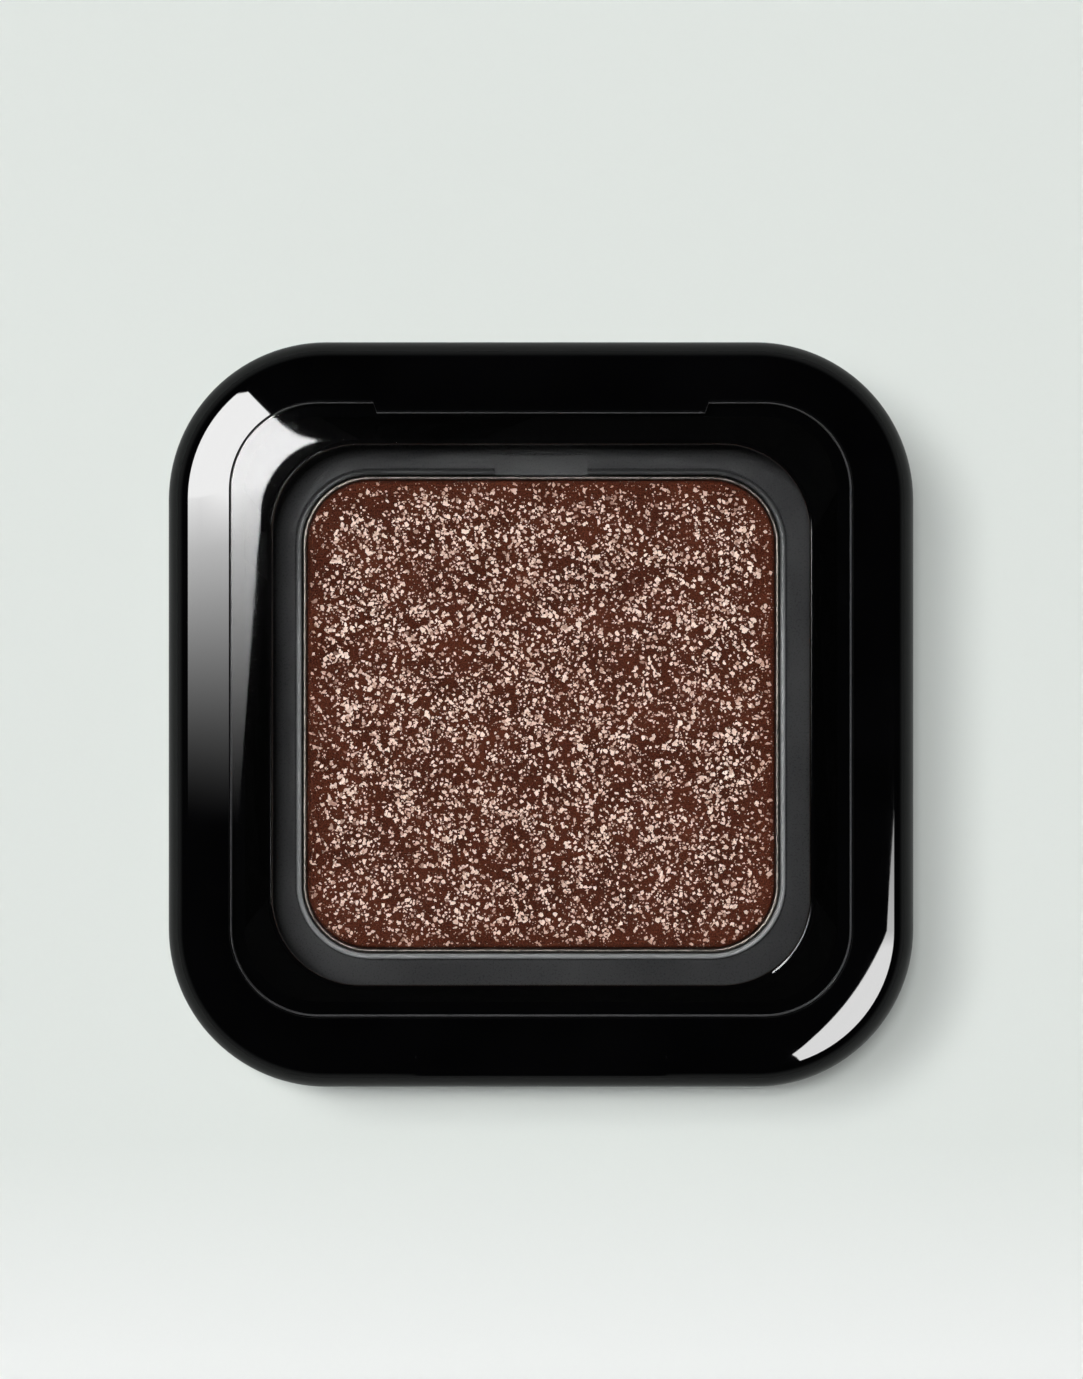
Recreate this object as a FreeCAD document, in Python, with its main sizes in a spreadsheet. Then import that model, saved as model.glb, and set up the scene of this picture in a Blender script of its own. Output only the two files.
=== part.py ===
"""Square eyeshadow compact for one pressed shade, closed, as separate moulded and pressed pieces.

Millimetres. The origin is the middle of the underside, +X is to the right, +Y to the hinge and +Z up.
The case is laid out round the pan: borders, margins and clearances are added to the pan's own size.
"""

import FreeCAD
import Part
import Sketcher
import math
import os
import re

SIZES = {
    # Pan and powder
    "pan_width": 27.2,
    "pan_length": 27.2,
    "pan_radius": 3.9,
    "pan_depth": 3.1,
    "pan_wall": 0.25,
    "pan_floor": 0.3,
    "pan_edge": 0.2,
    "cake_clearance": 0.02,
    "cake_drop": 0.05,
    "cake_edge": 0.35,
    "pan_glue_width": 22.0,
    "pan_glue_radius": 3.0,
    "pan_glue_thickness": 0.15,
    # Case outline
    "side_border": 7.4,
    "front_border": 7.4,
    "rear_border": 7.4,
    "flat_corner_radius": 2.7,
    "parting_gap": 0.1,
    # Base
    "base_wall": 1.6,
    "base_floor": 1.4,
    "base_bottom_edge": 1.2,
    "base_rim_edge": 0.25,
    "tray_ledge": 1.0,
    "floor_gap": 1.25,
    "thumb_width": 12.0,
    "thumb_height": 2.3,
    "thumb_wall": 0.7,
    # Label
    "label_width": 24.0,
    "label_radius": 3.0,
    "label_thickness": 0.12,
    "label_recess": 0.2,
    "label_clearance": 0.15,
    # Tray
    "tray_clearance": 0.1,
    "deck_drop": 0.35,
    "deck_thickness": 1.25,
    "lip_wall": 0.3,
    "lip_height": 0.4,
    "pan_clearance": 0.05,
    "pan_drop": 0.05,
    "cup_wall": 0.9,
    "cup_floor": 0.8,
    "release_width": 5.3,
    "release_reach": 0.9,
    "release_sink": 0.25,
    # Lid
    "lid_wall": 1.3,
    "lid_headroom": 3.2,
    "lid_rim_edge": 0.2,
    "lid_edge_radius": 1.9,
    "crease_inset": 1.2,
    "crease_drop": 0.45,
    "crown_inset": 6.2,
    "scoop_width": 14.0,
    "scoop_inset": 1.9,
    "scoop_foot": 0.8,
    "scoop_radius": 5.0,
    # Window
    "window_side": 1.5,
    "window_end": 1.6,
    "window_radius": 4.9,
    "ledge_thickness": 0.9,
    "film_thickness": 0.1,
    "film_margin": 0.25,
    "key_margin": 0.2,
    "plate_thickness": 1.0,
    "plate_side": 2.3,
    "plate_front": 1.7,
    "plate_rear": 2.3,
    "plate_radius": 4.9,
    "plate_clearance": 0.06,
    "key_width": 18.6,
    "key_depth": 0.56,
    # Hinge
    "hinge_setback": 1.6,
    "hinge_drop": 2.1,
    "hinge_web": 0.9,
    "knuckle_width": 18.5,
    "knuckle_inset": 0.1,
    "knuckle_rise": 1.6,
    "knuckle_gap": 0.2,
    "knuckle_side_gap": 0.15,
    "pin_radius": 0.6,
    "pin_clearance": 0.03,
    "pin_engage": 4.75,
    "pin_recess": 0.1,
    "pin_edge": 0.1,
    # Latch tab
    "latch_width": 8.0,
    "latch_thickness": 0.8,
    "latch_gap": 0.2,
    "latch_tip_gap": 0.15,
    "latch_side_gap": 0.3,
    "latch_root": 0.3,
    # Spare length by which cutters pass the faces that they open
    "overcut": 1.0,
}

DERIVED = {
    # Case outline
    "case_width": "pan_width + 2 * side_border",
    "case_length": "pan_length + front_border + rear_border",
    "corner_radius": "flat_corner_radius + crown_inset",
    "pan_centre": "(front_border - rear_border) / 2",
    "front_face": "-case_length / 2",
    "rear_face": "case_length / 2",
    # Levels, from the underside up
    "cup_bottom": "base_floor + floor_gap",
    "pocket_floor": "cup_bottom + cup_floor",
    "pan_bottom": "pocket_floor + pan_glue_thickness",
    "pan_top": "pan_bottom + pan_depth",
    "lip_top": "pan_top + pan_drop",
    "deck_top": "lip_top - lip_height",
    "deck_bottom": "deck_top - deck_thickness",
    "base_height": "deck_top + deck_drop",
    "lid_bottom": "base_height + parting_gap",
    "lid_ceiling": "lid_bottom + lid_headroom",
    "seat_level": "lid_ceiling + ledge_thickness",
    "plate_bottom": "seat_level + film_thickness",
    "case_top": "plate_bottom + plate_thickness",
    # Pan and cake
    "pan_inner_radius": "pan_radius - pan_wall",
    "cake_bottom": "pan_bottom + pan_floor",
    "cake_height": "pan_depth - pan_floor - cake_drop",
    "cake_inset": "pan_wall + cake_clearance",
    # Hinge
    "hinge_y": "rear_face - hinge_setback",
    "hinge_z": "base_height - hinge_drop",
    "knuckle_radius": "hinge_setback - knuckle_inset",
    "recess_front": "hinge_y - knuckle_radius - knuckle_gap",
    "recess_floor": "hinge_z - hinge_drop - knuckle_gap",
    "recess_half": "knuckle_width / 2 + knuckle_side_gap",
    "pin_bore_radius": "pin_radius + pin_clearance",
    "pin_inner_end": "knuckle_width / 2 - pin_engage",
    "corner_step": "corner_radius - hinge_setback + pin_radius",
    "corner_reach": "sqrt(corner_radius ^ 2 - corner_step ^ 2)",
    "pin_outer_end": "case_width / 2 - corner_radius + corner_reach - pin_recess",
    # Base well that takes the tray
    "well_front": "front_face + base_wall",
    "well_rear": "recess_front - hinge_web",
    "well_width": "case_width - 2 * base_wall",
    "well_length": "well_rear - well_front",
    "well_centre": "(well_rear + well_front) / 2",
    "well_radius": "corner_radius - base_wall",
    "thumb_radius": "(thumb_width ^ 2 / 4 + thumb_height ^ 2) / (2 * thumb_height)",
    # Tray
    "pocket_grow": "2 * pan_clearance",
    "lip_grow": "pocket_grow + 2 * lip_wall",
    "cup_grow": "pocket_grow + 2 * cup_wall",
    "lip_rear": "pan_centre + (pan_length + lip_grow) / 2",
    # Lid crown
    "crown_run": "crown_inset - crease_inset",
    "crown_radius": "(crown_run ^ 2 + crease_drop ^ 2) / (2 * crease_drop)",
    "crease_level": "case_top - crease_drop",
    "edge_step": "lid_edge_radius - crease_inset",
    "edge_centre": "crease_level - sqrt(lid_edge_radius ^ 2 - edge_step ^ 2)",
    "scoop_run": "crown_inset - scoop_inset",
    "scoop_top": "case_top - crown_radius + sqrt(crown_radius ^ 2 - scoop_run ^ 2)",
    "scoop_step": "lid_edge_radius - scoop_foot",
    "scoop_foot_level": "edge_centre + sqrt(lid_edge_radius ^ 2 - scoop_step ^ 2)",
    # Window
    "window_width": "pan_width + 2 * window_side",
    "window_length": "pan_length + 2 * window_end",
    "plate_width": "window_width + 2 * plate_side",
    "plate_length": "window_length + plate_front + plate_rear",
    "plate_centre": "pan_centre + (plate_rear - plate_front) / 2",
    "film_inset": "key_depth + key_margin",
    # Latch
    "latch_front": "well_front + latch_gap",
    "latch_rear": "latch_front + latch_thickness",
    "latch_tip": "deck_bottom + latch_tip_gap",
}

# Heights closer than this are one level.
SAME_LEVEL = 1e-4

doc = FreeCAD.newDocument("EyeshadowCompact")


def fill_sheet():
    """Put the driving sizes and what follows from them into the sheet, one named cell each."""
    table = doc.addObject("Spreadsheet::Sheet", "Sizes")
    cells = {alias: str(value) for alias, value in SIZES.items()}
    cells.update({alias: f"={formula}" for alias, formula in DERIVED.items()})
    for row, (alias, content) in enumerate(cells.items(), start=1):
        table.set(f"A{row}", alias)
        table.set(f"B{row}", content)
        table.setAlias(f"B{row}", alias)
    doc.recompute()
    return table


sheet = fill_sheet()


def size(expression):
    """Value of an expression in sheet names."""
    return float(sheet.evalExpression(expression))


def bound(expression):
    """The same expression with each sheet name made absolute."""
    def absolute(match):
        word = match.group(0)
        return f"Sizes.{word}" if word in SIZES or word in DERIVED else word

    return re.sub(r"[a-z]\w*", absolute, expression)


def new_body(label):
    body = doc.addObject("PartDesign::Body", label)
    body.Label = label
    return body


def new_sketch(body, plane, offset="0"):
    """Sketch on one of the body's own planes, moved along that plane's normal."""
    sketch = body.newObject("Sketcher::SketchObject", f"{body.Name}_sketch")
    support = next(item for item in body.Origin.OriginFeatures if item.Role == plane)
    sketch.AttachmentSupport = [(support, "")]
    sketch.MapMode = "FlatFace"
    sketch.setExpression("AttachmentOffset.Base.z", bound(offset))
    return sketch


def dimension(sketch, kind, references, expression):
    """Add a measured constraint and tie it to the sheet."""
    index = sketch.addConstraint(Sketcher.Constraint(kind, *references, size(expression)))
    sketch.setExpression(f"Constraints[{index}]", bound(expression))


def add_line(sketch, start, end):
    return sketch.addGeometry(Part.LineSegment(FreeCAD.Vector(*start, 0), FreeCAD.Vector(*end, 0)), False)


def add_arc(sketch, centre, radius, first, last):
    """Counter-clockwise arc between two angles in degrees."""
    circle = Part.Circle(FreeCAD.Vector(*centre, 0), FreeCAD.Vector(0, 0, 1), radius)
    return sketch.addGeometry(Part.ArcOfCircle(circle, math.radians(first), math.radians(last)), False)


def join(sketch, first, second, kind="Coincident"):
    """Join the end of one curve to the start of the next, Coincident or Tangent."""
    sketch.addConstraint(Sketcher.Constraint(kind, first, 2, second, 1))


def lay(sketch, kind, *lines):
    """Make lines Horizontal or Vertical."""
    for line in lines:
        sketch.addConstraint(Sketcher.Constraint(kind, line))


def rounded_outline(sketch, width, length, radius, centre="0", key=None, split=False):
    """Closed rounded rectangle about x = 0, with its middle at y = centre.

    key is (width, depth) of a relief in the rear side. split starts the outline in the middle of the
    front side.
    """
    half, corner = size(width) / 2, size(radius)
    front = size(centre) - size(length) / 2
    rear = size(centre) + size(length) / 2
    inner = half - corner
    if split:
        front_line = add_line(sketch, (0, front), (inner, front))
    else:
        front_line = add_line(sketch, (-inner, front), (inner, front))
    front_right = add_arc(sketch, (inner, front + corner), corner, 270, 360)
    right = add_line(sketch, (half, front + corner), (half, rear - corner))
    rear_right = add_arc(sketch, (inner, rear - corner), corner, 0, 90)
    if key:
        key_half, step = size(key[0]) / 2, rear - size(key[1])
        rear_line = add_line(sketch, (inner, rear), (key_half, rear))
        down = add_line(sketch, (key_half, rear), (key_half, step))
        across = add_line(sketch, (key_half, step), (-key_half, step))
        up = add_line(sketch, (-key_half, step), (-key_half, rear))
        rear_end = add_line(sketch, (-key_half, rear), (-inner, rear))
        for first, second in ((rear_line, down), (down, across), (across, up), (up, rear_end)):
            join(sketch, first, second)
        lay(sketch, "Horizontal", across, rear_end)
        lay(sketch, "Vertical", down, up)
        sketch.addConstraint(Sketcher.Constraint("Equal", down, up))
        dimension(sketch, "DistanceX", (-1, 1, down, 1), f"({key[0]}) / 2")
        dimension(sketch, "DistanceX", (up, 1, -1, 1), f"({key[0]}) / 2")
        dimension(sketch, "DistanceY", (down, 2, down, 1), key[1])
    else:
        rear_line = add_line(sketch, (inner, rear), (-inner, rear))
        rear_end = rear_line
    rear_left = add_arc(sketch, (-inner, rear - corner), corner, 90, 180)
    left = add_line(sketch, (-half, rear - corner), (-half, front + corner))
    front_left = add_arc(sketch, (-inner, front + corner), corner, 180, 270)
    front_end = front_line
    if split:
        front_end = add_line(sketch, (-inner, front), (0, front))
        join(sketch, front_end, front_line)
        lay(sketch, "Horizontal", front_end)
        dimension(sketch, "DistanceX", (front_end, 1, front_end, 2), f"({width}) / 2 - ({radius})")
    chain = ((front_line, front_right), (front_right, right), (right, rear_right), (rear_right, rear_line),
             (rear_end, rear_left), (rear_left, left), (left, front_left), (front_left, front_end))
    for first, second in chain:
        join(sketch, first, second, "Tangent")
    lay(sketch, "Horizontal", front_line, rear_line)
    lay(sketch, "Vertical", left, right)
    for arc in (rear_right, rear_left, front_left):
        sketch.addConstraint(Sketcher.Constraint("Equal", front_right, arc))
    dimension(sketch, "Radius", (front_right,), radius)
    dimension(sketch, "DistanceX", (left, 1, right, 1), width)
    dimension(sketch, "DistanceX", (-1, 1, right, 1), f"({width}) / 2")
    dimension(sketch, "DistanceY", (front_line, 1, rear_line, 1), length)
    dimension(sketch, "DistanceY", (front_line, 1, -1, 1), f"({length}) / 2 - ({centre})")


def box_outline(sketch, left, right, low, high):
    """Closed rectangle between four lines."""
    x0, x1, y0, y1 = size(left), size(right), size(low), size(high)
    corners = [(x0, y0), (x1, y0), (x1, y1), (x0, y1)]
    lines = [add_line(sketch, corners[i], corners[(i + 1) % 4]) for i in range(4)]
    for i in range(4):
        join(sketch, lines[i], lines[(i + 1) % 4])
    lay(sketch, "Horizontal", lines[0], lines[2])
    lay(sketch, "Vertical", lines[1], lines[3])
    dimension(sketch, "DistanceX", (-1, 1, lines[0], 1), left)
    dimension(sketch, "DistanceX", (-1, 1, lines[0], 2), right)
    dimension(sketch, "DistanceY", (-1, 1, lines[0], 1), low)
    dimension(sketch, "DistanceY", (-1, 1, lines[2], 1), high)


def circle_outline(sketch, across, up, radius):
    circle = sketch.addGeometry(Part.Circle(FreeCAD.Vector(size(across), size(up), 0),
                                            FreeCAD.Vector(0, 0, 1), size(radius)), False)
    dimension(sketch, "Radius", (circle,), radius)
    dimension(sketch, "DistanceX", (-1, 1, circle, 3), across)
    dimension(sketch, "DistanceY", (-1, 1, circle, 3), up)


def add_pad(body, sketch, length, symmetric=False):
    """Raise a sketch along its normal, or to both sides of it."""
    pad = body.newObject("PartDesign::Pad", f"{body.Name}_pad")
    pad.Profile = sketch
    pad.SideType = "Symmetric" if symmetric else "One side"
    pad.setExpression("Length", bound(length))
    doc.recompute()
    return pad


def add_pocket(body, sketch, depth=None, upward=False, symmetric=False):
    """Cut a sketch into the body against its normal, upward along it, or to both sides.

    Without a depth the cut goes right through.
    """
    before = body.Shape.Volume
    pocket = body.newObject("PartDesign::Pocket", f"{body.Name}_pocket")
    pocket.Profile = sketch
    pocket.SideType = "Symmetric" if symmetric else "One side"
    pocket.Reversed = upward
    if depth is None:
        pocket.Type = "ThroughAll"
    else:
        pocket.setExpression("Length", bound(depth))
    doc.recompute()
    if not body.Shape.Volume < before:
        raise RuntimeError(f"{pocket.Name} cuts nothing from {body.Label}")
    return pocket


def level_edges(shape, level):
    """Names of the edges that lie flat at a level."""
    names = []
    for number, edge in enumerate(shape.Edges, start=1):
        box = edge.BoundBox
        if max(abs(box.ZMin - level), abs(box.ZMax - level)) < SAME_LEVEL:
            names.append(f"Edge{number}")
    return names


def add_fillet(body, feature, level, radius):
    """Round every edge of a feature that lies at a level."""
    fillet = body.newObject("PartDesign::Fillet", f"{body.Name}_fillet")
    fillet.Base = (feature, level_edges(feature.Shape, size(level)))
    fillet.setExpression("Radius", bound(radius))
    doc.recompute()
    return fillet


def plain_block(label, width, length, radius, centre, bottom, height):
    """Body of one rounded block, and that block's feature."""
    body = new_body(label)
    sketch = new_sketch(body, "XY_Plane", bottom)
    rounded_outline(sketch, width, length, radius, centre)
    return body, add_pad(body, sketch, height)


def make_base_shell():
    """Lower half of the case: tray well, relieved hinge recess, thumb notch and label recess."""
    body, block = plain_block("base_shell", "case_width", "case_length", "corner_radius", "0", "0",
                              "base_height")
    block = add_fillet(body, block, "0", "base_bottom_edge")
    add_fillet(body, block, "base_height", "base_rim_edge")

    well = new_sketch(body, "XY_Plane", "base_height")
    rounded_outline(well, "well_width", "well_length", "well_radius", "well_centre")
    add_pocket(body, well, "base_height - deck_bottom")

    hollow = new_sketch(body, "XY_Plane", "deck_bottom")
    rounded_outline(hollow, "well_width - 2 * tray_ledge", "well_length - 2 * tray_ledge",
                    "well_radius - tray_ledge", "well_centre")
    add_pocket(body, hollow, "deck_bottom - base_floor")

    recess = new_sketch(body, "XY_Plane", "base_height")
    box_outline(recess, "-recess_half", "recess_half", "recess_front", "rear_face + overcut")
    add_pocket(body, recess, "base_height - recess_floor")

    relief = new_sketch(body, "YZ_Plane")
    relief_outline(relief)
    add_pocket(body, relief, symmetric=True)

    bore = new_sketch(body, "YZ_Plane")
    circle_outline(bore, "hinge_y", "hinge_z", "pin_radius")
    add_pocket(body, bore, symmetric=True)

    thumb = new_sketch(body, "XZ_Plane", "-front_face")
    circle_outline(thumb, "0", "base_height - thumb_height + thumb_radius", "thumb_radius")
    add_pocket(body, thumb, "base_wall - thumb_wall")

    label = new_sketch(body, "XY_Plane")
    rounded_outline(label, "label_width + 2 * label_clearance", "label_width + 2 * label_clearance",
                    "label_radius + label_clearance")
    add_pocket(body, label, "label_recess", upward=True)
    return body


def relief_outline(sketch):
    """What is outside a quarter round about the hinge axis, where the lid's rear edge swings."""
    y, z, radius = size("hinge_y"), size("hinge_z"), size("hinge_drop")
    far = radius + size("hinge_setback + overcut")
    arc = add_arc(sketch, (y, z), radius, 0, 90)
    rise = add_line(sketch, (y, z + radius), (y, z + far))
    over = add_line(sketch, (y, z + far), (y + far, z + far))
    drop = add_line(sketch, (y + far, z + far), (y + far, z))
    back = add_line(sketch, (y + far, z), (y + radius, z))
    for first, second in ((arc, rise), (rise, over), (over, drop), (drop, back), (back, arc)):
        join(sketch, first, second)
    lay(sketch, "Vertical", rise, drop)
    lay(sketch, "Horizontal", over, back)
    dimension(sketch, "Radius", (arc,), "hinge_drop")
    dimension(sketch, "DistanceX", (-1, 1, arc, 3), "hinge_y")
    dimension(sketch, "DistanceY", (-1, 1, arc, 3), "hinge_z")
    dimension(sketch, "DistanceX", (-1, 1, rise, 1), "hinge_y")
    dimension(sketch, "DistanceY", (-1, 1, back, 1), "hinge_z")
    dimension(sketch, "DistanceX", (over, 1, over, 2), "hinge_drop + hinge_setback + overcut")
    dimension(sketch, "DistanceY", (drop, 2, drop, 1), "hinge_drop + hinge_setback + overcut")


def make_inner_tray():
    """Deck with a cup for the pan, a raised lip, a release notch at the rear and a slot for the latch tab."""
    body, _ = plain_block("inner_tray", "well_width - 2 * tray_clearance", "well_length - 2 * tray_clearance",
                          "well_radius - tray_clearance", "well_centre", "deck_bottom", "deck_thickness")

    lip = new_sketch(body, "XY_Plane", "deck_top")
    rounded_outline(lip, "pan_width + lip_grow", "pan_length + lip_grow", "pan_radius + lip_grow / 2",
                    "pan_centre")
    add_pad(body, lip, "lip_height")

    cup = new_sketch(body, "XY_Plane", "cup_bottom")
    rounded_outline(cup, "pan_width + cup_grow", "pan_length + cup_grow", "pan_radius + cup_grow / 2",
                    "pan_centre")
    add_pad(body, cup, "deck_bottom - cup_bottom")

    pocket = new_sketch(body, "XY_Plane", "lip_top")
    rounded_outline(pocket, "pan_width + pocket_grow", "pan_length + pocket_grow",
                    "pan_radius + pocket_grow / 2", "pan_centre")
    add_pocket(body, pocket, "lip_top - pocket_floor")

    release = new_sketch(body, "XY_Plane", "lip_top")
    box_outline(release, "-release_width / 2", "release_width / 2", "lip_rear - overcut",
                "lip_rear + release_reach")
    add_pocket(body, release, "lip_height + release_sink")

    slot = new_sketch(body, "XY_Plane", "deck_top")
    box_outline(slot, "-latch_width / 2 - latch_side_gap", "latch_width / 2 + latch_side_gap",
                "front_face", "latch_rear + latch_side_gap")
    add_pocket(body, slot, "deck_thickness")
    return body


def make_powder_pan():
    """Thin drawn pan, open at the top."""
    body, block = plain_block("powder_pan", "pan_width", "pan_length", "pan_radius", "pan_centre",
                              "pan_bottom", "pan_depth")
    add_fillet(body, block, "pan_bottom", "pan_edge")
    inside = new_sketch(body, "XY_Plane", "pan_top")
    rounded_outline(inside, "pan_width - 2 * pan_wall", "pan_length - 2 * pan_wall", "pan_inner_radius",
                    "pan_centre")
    add_pocket(body, inside, "pan_depth - pan_floor")
    return body


def make_eyeshadow_cake():
    """Pressed powder that fills the pan, with its top edge rounded by the press."""
    body, block = plain_block("eyeshadow_cake", "pan_width - 2 * cake_inset", "pan_length - 2 * cake_inset",
                              "pan_radius - cake_inset", "pan_centre", "cake_bottom", "cake_height")
    add_fillet(body, block, "cake_bottom + cake_height", "cake_edge")
    return body


def make_pan_adhesive():
    """Glue pad between the pan and the tray's cup."""
    body, _ = plain_block("pan_adhesive", "pan_glue_width", "pan_glue_width", "pan_glue_radius", "pan_centre",
                          "pocket_floor", "pan_glue_thickness")
    return body


def make_bottom_label():
    """Blank label stuck to the roof of its recess in the underside."""
    body, _ = plain_block("bottom_label", "label_width", "label_width", "label_radius", "0",
                          "label_recess - label_thickness", "label_thickness")
    return body


def make_window_adhesive():
    """Film frame on the window ledge."""
    body = new_body("window_adhesive")
    frame = new_sketch(body, "XY_Plane", "seat_level")
    rounded_outline(frame, "plate_width - 2 * film_inset", "plate_length - 2 * film_inset",
                    "plate_radius - film_inset", "plate_centre")
    rounded_outline(frame, "window_width + 2 * film_margin", "window_length + 2 * film_margin",
                    "window_radius + film_margin", "pan_centre")
    add_pad(body, frame, "film_thickness")
    return body


def make_hinge_pin(label, start):
    """Steel pin along X from a start, with both ends broken."""
    body = new_body(label)
    disc = new_sketch(body, "YZ_Plane", start)
    circle_outline(disc, "hinge_y", "hinge_z", "pin_radius")
    pin = add_pad(body, disc, "pin_outer_end - pin_inner_end")
    rims = [f"Edge{number}" for number, edge in enumerate(pin.Shape.Edges, start=1) if edge.Closed]
    chamfer = body.newObject("PartDesign::Chamfer", f"{label}_chamfer")
    chamfer.Base = (pin, rims)
    chamfer.setExpression("Size", bound("pin_edge"))
    doc.recompute()
    return body


def crown_outline(sketch):
    """Section of the lid's border at the front: rim, side, rounded edge, then the crown."""
    front, inner = size("front_face"), size("front_face + crown_inset")
    bottom, top = size("lid_bottom"), size("case_top")
    rim, edge, crown = size("lid_rim_edge"), size("lid_edge_radius"), size("crown_radius")
    edge_tilt = math.degrees(math.acos(size("edge_step") / edge))
    crown_tilt = math.degrees(math.asin(size("crown_run") / crown))
    floor = add_line(sketch, (inner, bottom), (front + rim, bottom))
    rim_arc = add_arc(sketch, (front + rim, bottom + rim), rim, 180, 270)
    side = add_line(sketch, (front, bottom + rim), (front, size("edge_centre")))
    edge_arc = add_arc(sketch, (front + edge, size("edge_centre")), edge, 180 - edge_tilt, 180)
    crown_arc = add_arc(sketch, (inner, top - crown), crown, 90, 90 + crown_tilt)
    wall = add_line(sketch, (inner, top), (inner, bottom))
    sketch.addConstraint(Sketcher.Constraint("Tangent", floor, 2, rim_arc, 2))
    sketch.addConstraint(Sketcher.Constraint("Tangent", rim_arc, 1, side, 1))
    sketch.addConstraint(Sketcher.Constraint("Tangent", side, 2, edge_arc, 2))
    sketch.addConstraint(Sketcher.Constraint("Coincident", edge_arc, 1, crown_arc, 2))
    sketch.addConstraint(Sketcher.Constraint("Coincident", crown_arc, 1, wall, 1))
    join(sketch, wall, floor)
    lay(sketch, "Horizontal", floor)
    lay(sketch, "Vertical", side, wall)
    dimension(sketch, "Radius", (rim_arc,), "lid_rim_edge")
    dimension(sketch, "Radius", (edge_arc,), "lid_edge_radius")
    dimension(sketch, "DistanceX", (-1, 1, side, 1), "front_face")
    dimension(sketch, "DistanceX", (-1, 1, wall, 1), "front_face + crown_inset")
    dimension(sketch, "DistanceX", (-1, 1, crown_arc, 3), "front_face + crown_inset")
    dimension(sketch, "DistanceY", (-1, 1, floor, 1), "lid_bottom")
    dimension(sketch, "DistanceY", (-1, 1, wall, 1), "case_top")
    dimension(sketch, "DistanceX", (-1, 1, crown_arc, 2), "front_face + crease_inset")
    dimension(sketch, "DistanceY", (-1, 1, crown_arc, 2), "crease_level")


def add_crowned_block(body):
    """The lid's whole outside form: the border's section carried round the case, and a flat middle."""
    path = new_sketch(body, "XY_Plane", "lid_bottom")
    rounded_outline(path, "case_width", "case_length", "corner_radius", split=True)
    section = new_sketch(body, "YZ_Plane")
    crown_outline(section)
    doc.recompute()
    border = body.newObject("PartDesign::AdditivePipe", f"{body.Name}_border")
    border.Profile = section
    border.Spine = path
    doc.recompute()
    middle = new_sketch(body, "XY_Plane", "lid_bottom")
    rounded_outline(middle, "case_width - 2 * crown_inset", "case_length - 2 * crown_inset",
                    "flat_corner_radius")
    add_pad(body, middle, "case_top - lid_bottom")


def make_lid_frame():
    """Lid moulding: crowned border, window seat, hollow, thumb dip, latch tab and knuckle."""
    body = new_body("lid_frame")
    add_crowned_block(body)

    hollow = new_sketch(body, "XY_Plane", "lid_bottom")
    rounded_outline(hollow, "case_width - 2 * lid_wall", "case_length - 2 * lid_wall",
                    "corner_radius - lid_wall")
    add_pocket(body, hollow, "lid_headroom", upward=True)

    seat = new_sketch(body, "XY_Plane", "case_top")
    rounded_outline(seat, "plate_width + 2 * plate_clearance", "plate_length + 2 * plate_clearance",
                    "plate_radius + plate_clearance", "plate_centre",
                    key=("key_width - 2 * plate_clearance", "key_depth"))
    add_pocket(body, seat, "case_top - seat_level")

    window = new_sketch(body, "XY_Plane", "case_top")
    rounded_outline(window, "window_width", "window_length", "window_radius", "pan_centre")
    add_pocket(body, window, "case_top - lid_bottom")

    scoop = new_sketch(body, "YZ_Plane")
    scoop_outline(scoop)
    add_pocket(body, scoop, "scoop_width", symmetric=True)

    knuckle = new_sketch(body, "YZ_Plane")
    knuckle_outline(knuckle)
    add_pad(body, knuckle, "knuckle_width", symmetric=True)

    bore = new_sketch(body, "YZ_Plane")
    circle_outline(bore, "hinge_y", "hinge_z", "pin_bore_radius")
    add_pocket(body, bore, "knuckle_width + 2 * overcut", symmetric=True)

    latch = new_sketch(body, "XY_Plane", "latch_tip")
    box_outline(latch, "-latch_width / 2", "latch_width / 2", "latch_front", "latch_rear")
    add_pad(body, latch, "lid_ceiling + latch_root - latch_tip")
    return body


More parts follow.
